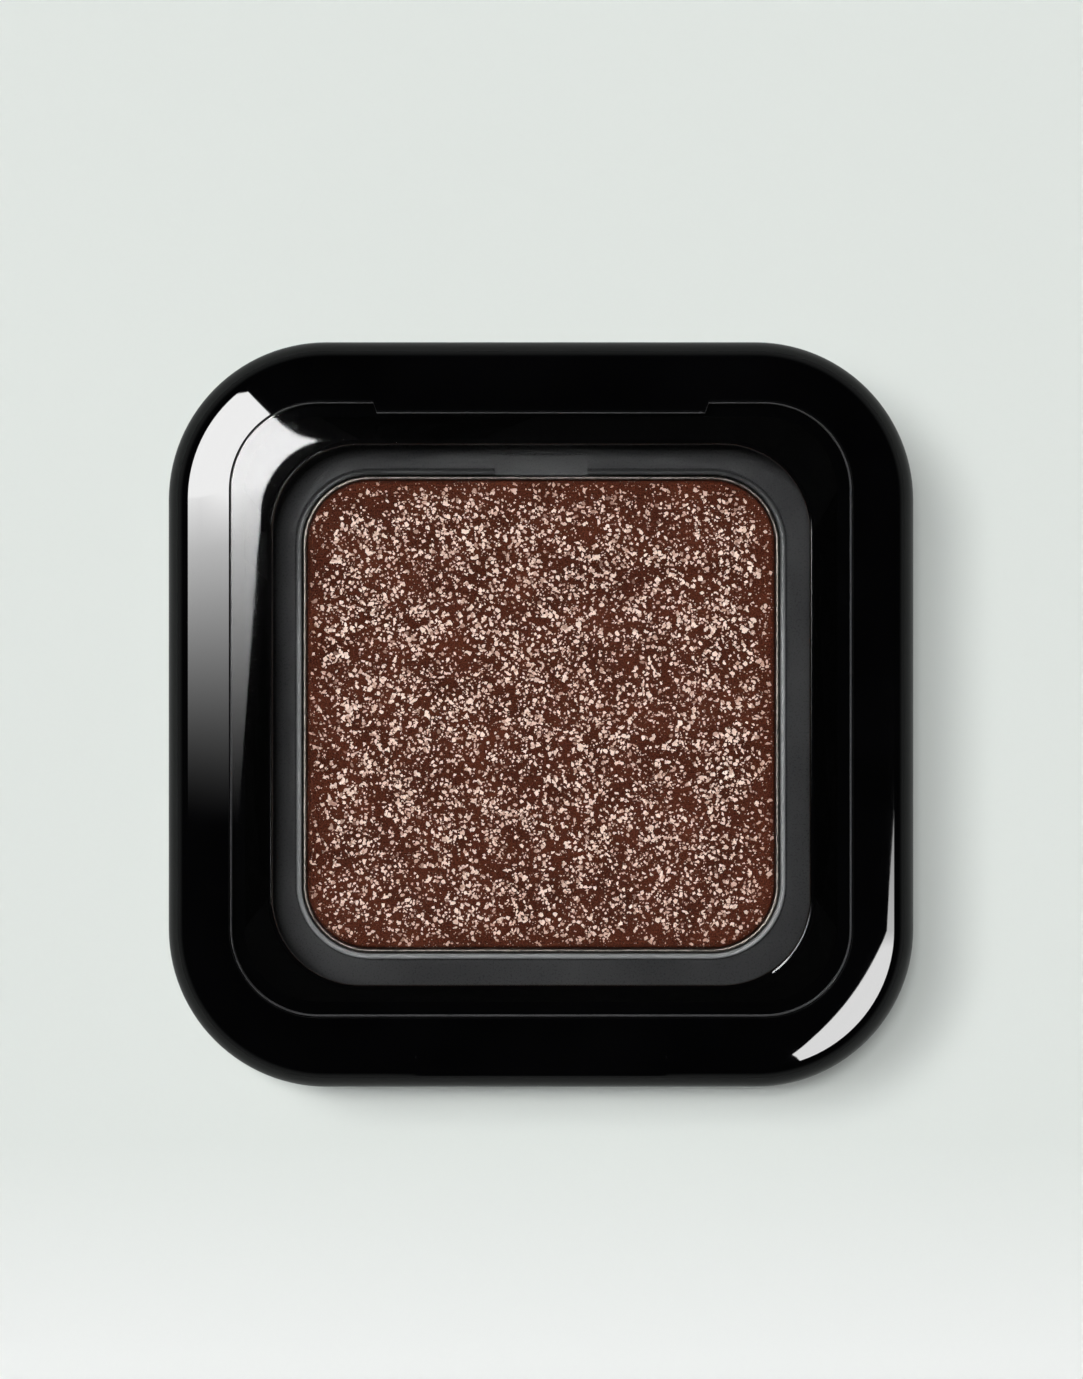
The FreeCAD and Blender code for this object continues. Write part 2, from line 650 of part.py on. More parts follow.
def scoop_outline(sketch):
    """Hollow arc for the thumb, from the border's crown down to its rounded front edge."""
    top = (size("front_face + scoop_inset"), size("scoop_top"))
    foot = (size("front_face + scoop_foot"), size("scoop_foot_level"))
    radius = size("scoop_radius")
    chord = FreeCAD.Vector(top[0] - foot[0], top[1] - foot[1], 0)
    middle = FreeCAD.Vector((top[0] + foot[0]) / 2, (top[1] + foot[1]) / 2, 0)
    rise = math.sqrt(radius ** 2 - (chord.Length / 2) ** 2)
    centre = middle + FreeCAD.Vector(-chord.y, chord.x, 0).normalize() * rise
    first = math.degrees(math.atan2(foot[1] - centre.y, foot[0] - centre.x))
    last = math.degrees(math.atan2(top[1] - centre.y, top[0] - centre.x))
    high, out = size("case_top + overcut"), size("front_face - overcut")
    arc = add_arc(sketch, (centre.x, centre.y), radius, first, last)
    up = add_line(sketch, top, (top[0], high))
    over = add_line(sketch, (top[0], high), (out, high))
    down = add_line(sketch, (out, high), (out, foot[1]))
    back = add_line(sketch, (out, foot[1]), foot)
    for before, after in ((arc, up), (up, over), (over, down), (down, back), (back, arc)):
        join(sketch, before, after)
    lay(sketch, "Vertical", up, down)
    lay(sketch, "Horizontal", over, back)
    dimension(sketch, "Radius", (arc,), "scoop_radius")
    dimension(sketch, "DistanceX", (-1, 1, arc, 2), "front_face + scoop_inset")
    dimension(sketch, "DistanceY", (-1, 1, arc, 2), "scoop_top")
    dimension(sketch, "DistanceX", (-1, 1, arc, 1), "front_face + scoop_foot")
    dimension(sketch, "DistanceY", (-1, 1, arc, 1), "scoop_foot_level")
    dimension(sketch, "DistanceY", (-1, 1, over, 1), "case_top + overcut")
    dimension(sketch, "DistanceX", (-1, 1, down, 1), "front_face - overcut")


def knuckle_outline(sketch):
    """Knuckle section: round below the hinge axis, straight up into the lid's rear wall."""
    y, z, radius = size("hinge_y"), size("hinge_z"), size("knuckle_radius")
    top = size("lid_bottom + knuckle_rise")
    arc = add_arc(sketch, (y, z), radius, 180, 360)
    rear = add_line(sketch, (y + radius, z), (y + radius, top))
    over = add_line(sketch, (y + radius, top), (y - radius, top))
    front = add_line(sketch, (y - radius, top), (y - radius, z))
    join(sketch, arc, rear, "Tangent")
    join(sketch, rear, over)
    join(sketch, over, front)
    join(sketch, front, arc, "Tangent")
    lay(sketch, "Vertical", rear, front)
    lay(sketch, "Horizontal", over)
    dimension(sketch, "Radius", (arc,), "knuckle_radius")
    dimension(sketch, "DistanceX", (-1, 1, arc, 3), "hinge_y")
    dimension(sketch, "DistanceY", (-1, 1, arc, 3), "hinge_z")
    dimension(sketch, "DistanceY", (-1, 1, over, 1), "lid_bottom + knuckle_rise")


def make_window_plate():
    """Clear plate that carries the lid's crown on, cut to its keyed outline and to its thickness."""
    body = new_body("window_plate")
    add_crowned_block(body)
    under = new_sketch(body, "XY_Plane", "lid_bottom")
    box_outline(under, "-case_width", "case_width", "-case_length", "case_length")
    add_pocket(body, under, "plate_bottom - lid_bottom", upward=True)
    around = new_sketch(body, "XY_Plane", "case_top")
    box_outline(around, "-case_width", "case_width", "-case_length", "case_length")
    rounded_outline(around, "plate_width", "plate_length", "plate_radius", "plate_centre",
                    key=("key_width", "key_depth"))
    add_pocket(body, around, "case_top - lid_bottom")
    return body


def check(bodies):
    """Stop if any object failed or any piece isn't one sound solid."""
    for item in doc.Objects:
        if {"Invalid", "Error"} & set(item.State):
            raise RuntimeError(f"{item.Name} failed: {item.State}")
    for body in bodies:
        shape = body.Shape
        if shape.isNull() or not shape.isValid() or len(shape.Solids) != 1:
            raise RuntimeError(f"{body.Label} isn't one sound solid")


def main():
    bodies = [
        make_base_shell(),
        make_inner_tray(),
        make_powder_pan(),
        make_eyeshadow_cake(),
        make_pan_adhesive(),
        make_bottom_label(),
        make_hinge_pin("hinge_pin_left", "-pin_outer_end"),
        make_hinge_pin("hinge_pin_right", "pin_inner_end"),
        make_lid_frame(),
        make_window_plate(),
        make_window_adhesive(),
    ]
    doc.recompute()
    check(bodies)
    os.makedirs("parts", exist_ok=True)
    for body in bodies:
        body.Shape.exportStep(f"parts/{body.Label}.step")
        box = body.Shape.BoundBox
        print(f"{body.Label}: {body.Shape.Volume:.2f} mm3, "
              f"x {box.XMin:.2f} to {box.XMax:.2f}, y {box.YMin:.2f} to {box.YMax:.2f}, "
              f"z {box.ZMin:.2f} to {box.ZMax:.2f}")


main()
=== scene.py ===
"""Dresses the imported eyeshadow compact, from its lid to its shimmer powder, in a small studio."""

import logging
import math
import random
from collections.abc import Callable, Iterable, Sequence
from dataclasses import dataclass, field, replace
from enum import Enum, IntEnum

import bmesh
import bpy
from mathutils import Matrix, Vector, noise


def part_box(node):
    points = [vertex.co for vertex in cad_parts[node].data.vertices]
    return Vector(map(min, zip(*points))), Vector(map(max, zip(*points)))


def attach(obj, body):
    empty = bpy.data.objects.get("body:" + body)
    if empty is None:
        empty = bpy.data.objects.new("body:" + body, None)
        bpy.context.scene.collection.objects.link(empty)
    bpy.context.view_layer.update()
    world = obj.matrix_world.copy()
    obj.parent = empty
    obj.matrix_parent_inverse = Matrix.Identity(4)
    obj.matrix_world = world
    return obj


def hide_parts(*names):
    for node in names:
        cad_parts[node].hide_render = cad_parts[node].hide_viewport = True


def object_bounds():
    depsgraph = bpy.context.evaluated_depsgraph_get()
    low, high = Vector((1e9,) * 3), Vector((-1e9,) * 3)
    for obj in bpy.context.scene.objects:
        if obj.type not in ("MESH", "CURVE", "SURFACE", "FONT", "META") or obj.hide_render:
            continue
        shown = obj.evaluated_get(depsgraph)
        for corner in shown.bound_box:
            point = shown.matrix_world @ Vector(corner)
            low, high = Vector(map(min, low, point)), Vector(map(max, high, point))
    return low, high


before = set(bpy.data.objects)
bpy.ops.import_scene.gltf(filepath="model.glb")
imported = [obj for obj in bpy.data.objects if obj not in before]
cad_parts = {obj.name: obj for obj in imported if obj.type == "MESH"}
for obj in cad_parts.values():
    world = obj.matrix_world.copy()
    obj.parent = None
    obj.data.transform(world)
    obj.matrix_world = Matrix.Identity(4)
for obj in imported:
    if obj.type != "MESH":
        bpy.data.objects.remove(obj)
CAD_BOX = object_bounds()

LOG = logging.getLogger("compact")
MM = 0.001
SEED = 4217
# Face attribute that holds the tone of a flake
TONE = "tone"
# Millimetres by which a cutter passes the faces that it opens
OVERCUT = 1.0
# Least corner radius of an outline that is moved inwards, in millimetres
LEAST_RADIUS = 0.02
# Range that most of a noise lies in
NOISE_LOW, NOISE_HIGH = 0.3, 0.7
# Sides of a rounding's centre, as angles in degrees: 0 is outwards and 90 up
BELOW, OUTSIDE, ABOVE, INSIDE, UNDER = -90.0, 0.0, 90.0, 180.0, 270.0
BORE_SIDES = 24

Level = float | Callable[[float, float], float]
Links = dict[str | int, object]
Triple = tuple[float, float, float]
Pair = tuple[float, float]
Ring = list[bmesh.types.BMVert]
Piece = bpy.types.Object
Material = bpy.types.Material
Socket = bpy.types.NodeSocket


class Body(str, Enum):
    """Rigid bodies that a piece can ride on."""

    BASE = "base"
    LID = "lid"


class Slot(str, Enum):
    """Names of material slots that each new piece is passed with; nothing reads them."""

    GLOSS_BLACK = "gloss_black"
    SATIN_GREY = "satin_grey"
    PAN_METAL = "pan_metal"
    SHIMMER = "shimmer_powder"
    STEEL = "pin_steel"
    CLEAR = "clear_plastic"


class Cut(str, Enum):
    """How one closed mesh changes another."""

    JOIN = "UNION"
    REMOVE = "DIFFERENCE"


class Axis(IntEnum):
    """Axis that a prism runs along: across, to the hinge, or up."""

    X = 0
    Y = 1
    Z = 2


@dataclass(frozen=True)
class Outline:
    """Rounded rectangle about x = 0, in millimetres, with an optional relief in its rear side."""

    half_width: float
    half_length: float
    radius: float
    centre: float = 0.0
    key_half: float = 0.0
    key_depth: float = 0.0

    @property
    def front(self) -> float:
        """Place of the front side."""
        return self.centre - self.half_length

    @property
    def rear(self) -> float:
        """Place of the rear side."""
        return self.centre + self.half_length

    def grown(self, step: float) -> "Outline":
        """The same outline moved outwards or inwards.

        Args:
            step: Distance outwards, or inwards if negative.

        Returns:
            The moved outline.
        """
        key_half = self.key_half - step if self.key_half else 0.0
        radius = max(self.radius + step, LEAST_RADIUS)
        return replace(self, half_width=self.half_width + step, half_length=self.half_length + step,
                       radius=radius, key_half=key_half)

    def inset(self, x: float, y: float) -> float:
        """How far a point lies inside the outline, its relief left out.

        Args:
            x: Across.
            y: Along, to the hinge.

        Returns:
            Distance to the outline, positive inside.
        """
        over_x = abs(x) - self.half_width + self.radius
        over_y = abs(y - self.centre) - self.half_length + self.radius
        outside = math.hypot(max(over_x, 0.0), max(over_y, 0.0))
        return self.radius - outside - min(max(over_x, over_y), 0.0)


def node_box(node: str) -> tuple[Vector, Vector]:
    """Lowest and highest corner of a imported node.

    Args:
        node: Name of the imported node.

    Returns:
        Both corners, in millimetres.
    """
    low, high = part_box(node)
    return Vector(low) / MM, Vector(high) / MM


def node_outline(node: str, radius: float) -> Outline:
    """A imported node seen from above.

    Args:
        node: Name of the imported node.
        radius: Radius of its corners.

    Returns:
        Its outline.
    """
    low, high = node_box(node)
    half = (high - low) / 2.0
    return Outline(half.x, half.y, radius, (low.y + high.y) / 2.0)


@dataclass(frozen=True)
class Columns:
    """Where a stack of outlines is sampled, so that all its rings match point for point."""

    front: tuple[float, ...] = (0.0,)
    rear: tuple[float, ...] = (0.0,)
    arc_steps: int = 20
    side_steps: int = 6

    @staticmethod
    def mirrored(*places: float) -> tuple[float, ...]:
        """Places on both sides of the middle, and the middle, from left to right."""
        return tuple(sorted({0.0, *places, *(-place for place in places)}))

    def sample(self, outline: Outline) -> list[Pair]:
        """Points of an outline, counter-clockwise from its front left.

        Args:
            outline: The rounded rectangle.

        Returns:
            Points across and along, as many for every outline.
        """
        flat_x = outline.half_width - outline.radius
        flat_y = outline.half_length - outline.radius
        points = [(x, outline.front) for x in (-flat_x, *self.front, flat_x)]
        points += self._corner(flat_x, outline.centre - flat_y, outline.radius, -90.0)
        points += self._side(outline.half_width, outline.centre, flat_y, 1.0)
        points += self._corner(flat_x, outline.centre + flat_y, outline.radius, 0.0)
        points.append((flat_x, outline.rear))
        for x in reversed(self.rear):
            relief = outline.key_depth if abs(x) < outline.key_half else 0.0
            points.append((x, outline.rear - relief))
        points.append((-flat_x, outline.rear))
        points += self._corner(-flat_x, outline.centre + flat_y, outline.radius, 90.0)
        points += self._side(-outline.half_width, outline.centre, flat_y, -1.0)
        points += self._corner(-flat_x, outline.centre - flat_y, outline.radius, 180.0)
        return points

    def _corner(self, x: float, y: float, radius: float, start: float) -> list[Pair]:
        """Inner points of a quarter round that starts at an angle in degrees."""
        return arc_points(x, y, radius, start, start + 90.0, self.arc_steps)[1:-1]

    def _side(self, x: float, centre: float, flat: float, way: float) -> list[Pair]:
        """Points of a straight side, to the rear for way 1 and to the front for way -1."""
        steps = self.side_steps
        return [(x, centre + way * flat * (2.0 * step / steps - 1.0)) for step in range(steps + 1)]


def arc_points(a: float, b: float, radius: float, first: float, last: float, steps: int) -> list[Pair]:
    """Points of an arc.

    Args:
        a: First coordinate of the centre.
        b: Second coordinate of the centre.
        radius: Radius.
        first: First angle in degrees.
        last: Last angle.
        steps: Number of chords.

    Returns:
        Points from the first angle to the last.
    """
    angles = [math.radians(first + (last - first) * step / steps) for step in range(steps + 1)]
    return [(a + radius * math.cos(t), b + radius * math.sin(t)) for t in angles]


def circle_points(a: float, b: float, radius: float, sides: int) -> list[Pair]:
    """Points of a full circle about a centre."""
    return arc_points(a, b, radius, 0.0, 360.0 - 360.0 / sides, sides - 1)


def rectangle(left: float, right: float, front: float, rear: float) -> list[Pair]:
    """Corners of a rectangle, counter-clockwise from its front left."""
    return [(left, front), (right, front), (right, rear), (left, rear)]


def bridge(mesh: bmesh.types.BMesh, low: Ring, high: Ring) -> list[bmesh.types.BMFace]:
    """Makes the faces between two rings of as many points.

    Args:
        mesh: Mesh that holds both rings.
        low: First ring.
        high: Second ring.

    Returns:
        The new faces.
    """
    faces = []
    for i in range(len(low)):
        j = (i + 1) % len(low)
        faces.append(mesh.faces.new((low[i], low[j], high[j], high[i])))
    return faces


class RingStack:
    """Closed mesh made of matching rings, in millimetres until it is finished."""

    def __init__(self, columns: Columns) -> None:
        """Starts an empty stack.

        Args:
            columns: Sampling that all the rings share.
        """
        self.columns = columns
        self.mesh = bmesh.new()
        self.rings: list[Ring] = []

    def ring(self, outline: Outline, level: Level) -> None:
        """Adds a ring and joins it to the one before.

        Args:
            outline: Shape seen from above.
            level: Height, or a function of x and y that gives it.
        """
        self.points(self.columns.sample(outline), level)

    def points(self, places: Sequence[Pair], level: Level) -> None:
        """Adds a ring through places of its own.

        Args:
            places: Points across and along.
            level: Height, or a function of x and y that gives it.
        """
        height = level if callable(level) else lambda x, y: level
        ring = [self.mesh.verts.new((x, y, height(x, y))) for x, y in places]
        if self.rings:
            bridge(self.mesh, self.rings[-1], ring)
        self.rings.append(ring)

    def fillet(self, outline: Outline, level: float, radius: float, first: float, last: float,
               steps: int) -> None:
        """Adds rings round the edge where a wall meets a flat face.

        Args:
            outline: Outline of the wall.
            level: Height of the flat face.
            radius: Radius of the rounding.
            first: Side of the rounding's centre where the rings start, an angle in degrees.
            last: Side where they end.
            steps: Number of faces across the rounding.
        """
        middle = outline.grown(-radius if OUTSIDE in (first, last) else radius)
        over_top = min(first, last) <= ABOVE <= max(first, last)
        centre = level - radius if over_top else level + radius
        for along, up in arc_points(0.0, centre, radius, first, last, steps):
            self.ring(middle.grown(along), up)

    def cap(self) -> None:
        """Closes both ends with flat faces."""
        self.mesh.faces.new(self.rings[-1])
        self.mesh.faces.new(reversed(self.rings[0]))

    def close(self) -> None:
        """Joins the last ring to the first."""
        bridge(self.mesh, self.rings[-1], self.rings[0])

    def finish(self, name: str) -> Piece:
        """Turns the stack into an object, in metres.

        Args:
            name: Name of the piece.

        Returns:
            The new object.
        """
        bmesh.ops.remove_doubles(self.mesh, verts=self.mesh.verts, dist=1e-5)
        return mesh_object(name, self.mesh)


def scene_object(name: str, data: bpy.types.Mesh | bpy.types.Light | bpy.types.Camera) -> Piece:
    """Puts data into the scene as an object.

    Args:
        name: Name of the object.
        data: What it shows or does.

    Returns:
        The new object.
    """
    piece = bpy.data.objects.new(name, data)
    bpy.context.scene.collection.objects.link(piece)
    return piece


def mesh_object(name: str, mesh: bmesh.types.BMesh) -> Piece:
    """Makes an object of a mesh in millimetres and frees the mesh.

    Args:
        name: Name of the piece.
        mesh: Its faces, in millimetres.

    Returns:
        The new object, in metres.
    """
    bmesh.ops.scale(mesh, vec=(MM, MM, MM), verts=mesh.verts)
    bmesh.ops.recalc_face_normals(mesh, faces=mesh.faces)
    data = bpy.data.meshes.new(name)
    mesh.to_mesh(data)
    mesh.free()
    return scene_object(name, data)


def flat_piece(name: str, corners: Sequence[Triple]) -> Piece:
    """One flat face for the stage.

    Args:
        name: Name of the piece.
        corners: Its corners, in metres.

    Returns:
        The new object.
    """
    data = bpy.data.meshes.new(name)
    data.from_pydata(corners, [], [tuple(range(len(corners)))])
    return scene_object(name, data)


def prism(name: str, section: Sequence[Pair], start: float, end: float, axis: Axis) -> Piece:
    """Closed prism of a section along one axis.

    Args:
        name: Name of the piece.
        section: Points in the other two axes, in their order x, y, z.
        start: Where it begins along the axis.
        end: Where it ends.
        axis: The axis.

    Returns:
        The prism as an object.
    """
    mesh = bmesh.new()
    loops = []
    for level in (start, end):
        loop = []
        for spot in section:
            corner = list(spot)
            corner.insert(axis, level)
            loop.append(mesh.verts.new(corner))
        mesh.faces.new(loop)
        loops.append(loop)
    bridge(mesh, *loops)
    return mesh_object(name, mesh)


def carve(piece: Piece, tool: Piece, cut: Cut) -> None:
    """Joins a closed tool to a piece or removes it, and deletes the tool.

    Args:
        piece: Piece that changes.
        tool: Closed mesh that changes it.
        cut: What the tool does.
    """
    modifier = piece.modifiers.new("carve", "BOOLEAN")
    modifier.object = tool
    modifier.operation = cut.value
    modifier.solver = "EXACT"
    graph = bpy.context.evaluated_depsgraph_get()
    graph.update()
    carved = bpy.data.meshes.new_from_object(piece.evaluated_get(graph))
    piece.modifiers.clear()
    old, piece.data = piece.data, carved
    carved.name = piece.name
    bpy.data.meshes.remove(old)
    bpy.data.objects.remove(tool)


def shade(piece: Piece, limit: float = 30.0, crisp: Callable[[Vector], bool] | None = None) -> None:
    """Smooth shading that breaks at sharp edges.

    Args:
        piece: Piece to shade.
        limit: Largest angle in degrees that is still smooth.
        crisp: Tells which points, in millimetres, lie on an edge that breaks at any angle.
    """
    mesh = bmesh.new()
    mesh.from_mesh(piece.data)
    for face in mesh.faces:
        face.smooth = True
    for edge in mesh.edges:
        bend = math.degrees(edge.calc_face_angle(0.0))
        breaks = crisp is not None and all(crisp(v.co / MM) for v in edge.verts)
        edge.smooth = bend < limit and not breaks
    mesh.to_mesh(piece.data)
    mesh.free()


def soften(piece: Piece, width: float, limit: float = 40.0) -> None:
    """Small bevel on the sharp edges of a carved piece, with normals kept to its large faces.

    Args:
        piece: Piece to soften.
        width: Width of the bevel in millimetres.
        limit: Least angle in degrees that is bevelled.
    """
    bevel = piece.modifiers.new("edges", "BEVEL")
    bevel.width = width * MM
    bevel.segments = 2
    bevel.limit_method = "ANGLE"
    bevel.angle_limit = math.radians(limit)
    weigh = piece.modifiers.new("normals", "WEIGHTED_NORMAL")
    weigh.keep_sharp = True


def dress(piece: Piece, *finishes: Material,
          second: Callable[[bpy.types.MeshPolygon], bool] | None = None) -> None:
    """Gives a piece its finishes.

    Args:
        piece: The piece.
        finishes: Its finish, and a second one if part of it differs.
        second: Tells which faces take the second finish.
    """
    for finish in finishes:
        piece.data.materials.append(finish)
    if second is not None:
        for face in piece.data.polygons:
            face.material_index = int(second(face))


def place(piece: Piece, body: Body, slot: Slot, *nodes: str) -> Piece:
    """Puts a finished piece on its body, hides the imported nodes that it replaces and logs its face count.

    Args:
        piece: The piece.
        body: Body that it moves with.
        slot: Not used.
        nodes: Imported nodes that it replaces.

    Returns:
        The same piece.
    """
    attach(piece, body.value)
    if nodes:
        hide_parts(*nodes)
    LOG.info("%s: %d faces on %s", piece.name, len(piece.data.polygons), body.value)
    return piece


@dataclass(frozen=True)
class Waves:
    """Smooth noise about 0 over the plan, with its rate in waves per millimetre."""

    rate: float
    layer: float
    weight: float

    def at(self, x: float, y: float) -> float:
        """Weighted value at a point."""
        return self.weight * noise.noise(Vector((x * self.rate, y * self.rate, self.layer)))


def scaled(colour: Triple, gain: float) -> Triple:
    """A colour with all its parts multiplied."""
    return tuple(gain * part for part in colour)


class Nodes:
    """Short way to write a node tree."""

    def __init__(self, tree: bpy.types.NodeTree) -> None:
        """Empties the tree that is to be written."""
        self.tree = tree
        self.tree.nodes.clear()

    def node(self, kind: str, links: Links | None = None, **settings: object) -> bpy.types.Node:
        """Adds a node.

        Args:
            kind: Node type without its ShaderNode prefix.
            links: Input name to a value, or to an output socket that feeds it.
            settings: Properties of the node.

        Returns:
            The new node.
        """
        made = self.tree.nodes.new(f"ShaderNode{kind}")
        for key, value in settings.items():
            setattr(made, key, value)
        for key, value in (links or {}).items():
            socket = made.inputs[key]
            if isinstance(value, Socket):
                self.tree.links.new(value, socket)
            else:
                socket.default_value = value
        return made

    def combine(self, operation: str, first: Socket, second: Socket | float) -> Socket:
        """Result of one of Blender's math operations on two values."""
        return self.node("Math", {0: first, 1: second}, operation=operation).outputs["Value"]

    def span(self, value: Socket, low: float | Socket, high: float, start: float = NOISE_LOW,
             end: float = NOISE_HIGH, kind: str = "LINEAR") -> Socket:
        """Maps a value from one range to another and clamps it.

        Args:
            value: Value to map.
            low: Result at start.
            high: Result at end.
            start: Value that gives low.
            end: Value that gives high.
            kind: Blender's name for the curve between them.

        Returns:
            The mapped value.
        """
        links = {"Value": value, "From Min": start, "From Max": end, "To Min": low, "To Max": high}
        return self.node("MapRange", links, interpolation_type=kind).outputs["Result"]


class Shader(Nodes):
    """Short way to write a material."""

    def __init__(self, name: str) -> None:
        """Starts an empty material.

        Args:
            name: Name of the material.
        """
        self.material = bpy.data.materials.new(name)
        self.material.use_nodes = True
        super().__init__(self.material.node_tree)

    def spot(self) -> Socket:
        """Object coordinates, in metres."""
        return self.node("TexCoord").outputs["Object"]

    def along(self) -> Socket:
        """Object coordinate to the rear, in metres."""
        return self.node("SeparateXYZ", {"Vector": self.spot()}).outputs["Y"]

    def stretched(self, scale: Triple, turn: float = 0.0) -> Socket:
        """Object coordinates scaled along each axis and turned about the upright one, in radians."""
        links = {"Vector": self.spot(), "Scale": scale, "Rotation": (0.0, 0.0, turn)}
        return self.node("Mapping", links).outputs["Vector"]

    def noise(self, scale: float, detail: float = 2.0, roughness: float = 0.5,
              where: Socket | None = None) -> Socket:
        """Noise between 0 and 1.

        Args:
            scale: Waves per metre.
            detail: Octaves.
            roughness: Share that each octave keeps.
            where: Coordinates, if not the object's own.

        Returns:
            The value.
        """
        links = {"Vector": where or self.spot(), "Scale": scale, "Detail": detail, "Roughness": roughness}
        return self.node("TexNoise", links).outputs["Fac"]

    def ramp(self, value: Socket, *stops: tuple[float, Triple]) -> Socket:
        """Colour ramp.

        Args:
            value: Place on the ramp.
            stops: Positions with their linear colours, in order.

        Returns:
            The colour.
        """
        made = self.node("ValToRGB", {"Fac": value})
        elements = made.color_ramp.elements
        for number, (position, colour) in enumerate(stops):
            element = elements[number] if number < 2 else elements.new(position)
            element.position = position
            element.color = (*colour, 1.0)
        return made.outputs["Color"]

    def tones(self, value: Socket, dark: Triple, pale: Triple) -> Socket:
        """Colour between a dark and a pale one, over the range of a noise."""
        return self.ramp(value, (NOISE_LOW, dark), (NOISE_HIGH, pale))

    def mix(self, share: Socket | float, first: Socket, second: Socket | Triple) -> Socket:
        """Colour or value between two others, the first at share 0."""
        second = second if isinstance(second, Socket) else (*second, 1.0)
        return self.node("MixRGB", {"Fac": share, "Color1": first, "Color2": second}).outputs["Color"]

    def bump(self, height: Socket, depth: float, strength: float) -> Socket:
        """Normal of a relief.

        Args:
            height: Relief between 0 and 1.
            depth: Depth of the relief in metres.
            strength: Share of it that shows.

        Returns:
            The normal.
        """
        links = {"Height": height, "Distance": depth, "Strength": strength}
        return self.node("Bump", links).outputs["Normal"]

    def layer(self, share: Socket, first: Socket, second: Socket) -> Socket:
        """Surface between two others, the first at share 0."""
        return self.node("MixShader", {0: share, 1: first, 2: second}).outputs["Shader"]

    def surface(self, links: Links) -> Material:
        """Ends the material with a principled surface that has these inputs, and returns it."""
        return self.output(self.node("BsdfPrincipled", links).outputs["BSDF"])

    def output(self, surface: Socket) -> Material:
        """Ends the material with a surface socket and returns it."""
        self.node("OutputMaterial", {"Surface": surface})
        return self.material


@dataclass(frozen=True)
class GlossBlack:
    """Polished black moulding with a trace of haze and fine hairlines."""

    colour: Triple = (0.0005, 0.0005, 0.0006)
    pale_gain: float = 2.4
    pale_end: float = 0.75
    haze: Pair = (0.012, 0.028)
    cloud_scale: float = 160.0
    hairline_scale: float = 900.0
    hairline_stretch: Triple = (1.0, 0.04, 1.0)
    hairline_turn: float = 0.5
    hairline_range: Pair = (0.66, 0.78)
    hairline_haze: float = 0.03
    index: float = 1.5

    def material(self) -> Material:
        """Builds the material.

        Returns:
            The material.
        """
        shader = Shader("gloss_black_moulding")
        cloud = shader.noise(self.cloud_scale, detail=3.0)
        stretched = shader.stretched(self.hairline_stretch, self.hairline_turn)
        lines = shader.noise(self.hairline_scale, detail=4.0, where=stretched)
        marks = shader.span(lines, 0.0, self.hairline_haze, *self.hairline_range)
        rough = shader.combine("ADD", shader.span(cloud, *self.haze), marks)
        pale = scaled(self.colour, self.pale_gain)
        tone = shader.ramp(cloud, (NOISE_LOW, self.colour), (self.pale_end, pale))
        return shader.surface({"Base Color": tone, "Roughness": rough, "IOR": self.index})


@dataclass(frozen=True)
class SatinGrey:
    """Dark grey insert with a fine spark-eroded grain."""

    dark: Triple = (0.030, 0.030, 0.031)
    pale: Triple = (0.046, 0.046, 0.047)
    cloud_scale: float = 220.0
    grain_scale: float = 9000.0
    grain_depth: float = 0.000012
    grain_show: float = 0.5
    roughness: Pair = (0.24, 0.36)
    gloss: float = 0.22

    def material(self) -> Material:
        """Builds the material.

        Returns:
            The material.
        """
        shader = Shader("satin_grey_insert")
        grain = shader.noise(self.grain_scale, detail=3.0, roughness=0.6)
        tone = shader.tones(shader.noise(self.cloud_scale), self.dark, self.pale)
        links = {"Base Color": tone, "Roughness": shader.span(grain, *self.roughness)}
        relief = shader.bump(grain, self.grain_depth, self.grain_show)
        return shader.surface({**links, "Specular IOR Level": self.gloss, "Normal": relief})


@dataclass(frozen=True)
class LipPaintedHighlight:
    """Lip of the insert with a painted highlight: pale at the front and sides, fading towards the rear to
    its own satin grey, so that the rear reads as shaded. The stretch over which that fades is in metres.
    """

    satin: Triple = (0.034, 0.034, 0.035)
    rubbed: Triple = (0.25, 0.252, 0.255)
    fade: Pair = (0.003, 0.0135)
    roughness: float = 0.27

    def material(self) -> Material:
        """Builds the material.

        Returns:
            The material.
        """
        shader = Shader("lip_painted_highlight")
        # Painted highlight: full at the front of the lip, gone towards the rear where painted shade is
        # left.
        share = shader.span(shader.along(), 1.0, 0.0, *self.fade)
        tone = shader.ramp(share, (0.0, self.satin), (1.0, self.rubbed))
        return shader.surface({"Base Color": tone, "Roughness": self.roughness})


@dataclass(frozen=True)
class ClearPlastic:
    """Clear polished plate that passes light straight and mirrors at its own rate."""

    tint: Triple = (0.975, 0.98, 0.98)
    index: float = 1.57
    haze: Pair = (0.02, 0.045)
    haze_scale: float = 120.0

    def material(self) -> Material:
        """Builds the material.

        Returns:
            The material.
        """
        shader = Shader("clear_window")
        rough = shader.span(shader.noise(self.haze_scale), *self.haze)
        passed = shader.node("BsdfTransparent", {"Color": (*self.tint, 1.0)}).outputs["BSDF"]
        mirror = shader.node("BsdfGlossy", {"Roughness": rough}).outputs["BSDF"]
        inside = shader.node("NewGeometry").outputs["Backfacing"]
        index = shader.span(inside, self.index, 1.0 / self.index, 0.0, 1.0)
        share = shader.node("Fresnel", {"IOR": index}).outputs["Fac"]
        return shader.output(shader.layer(share, passed, mirror))


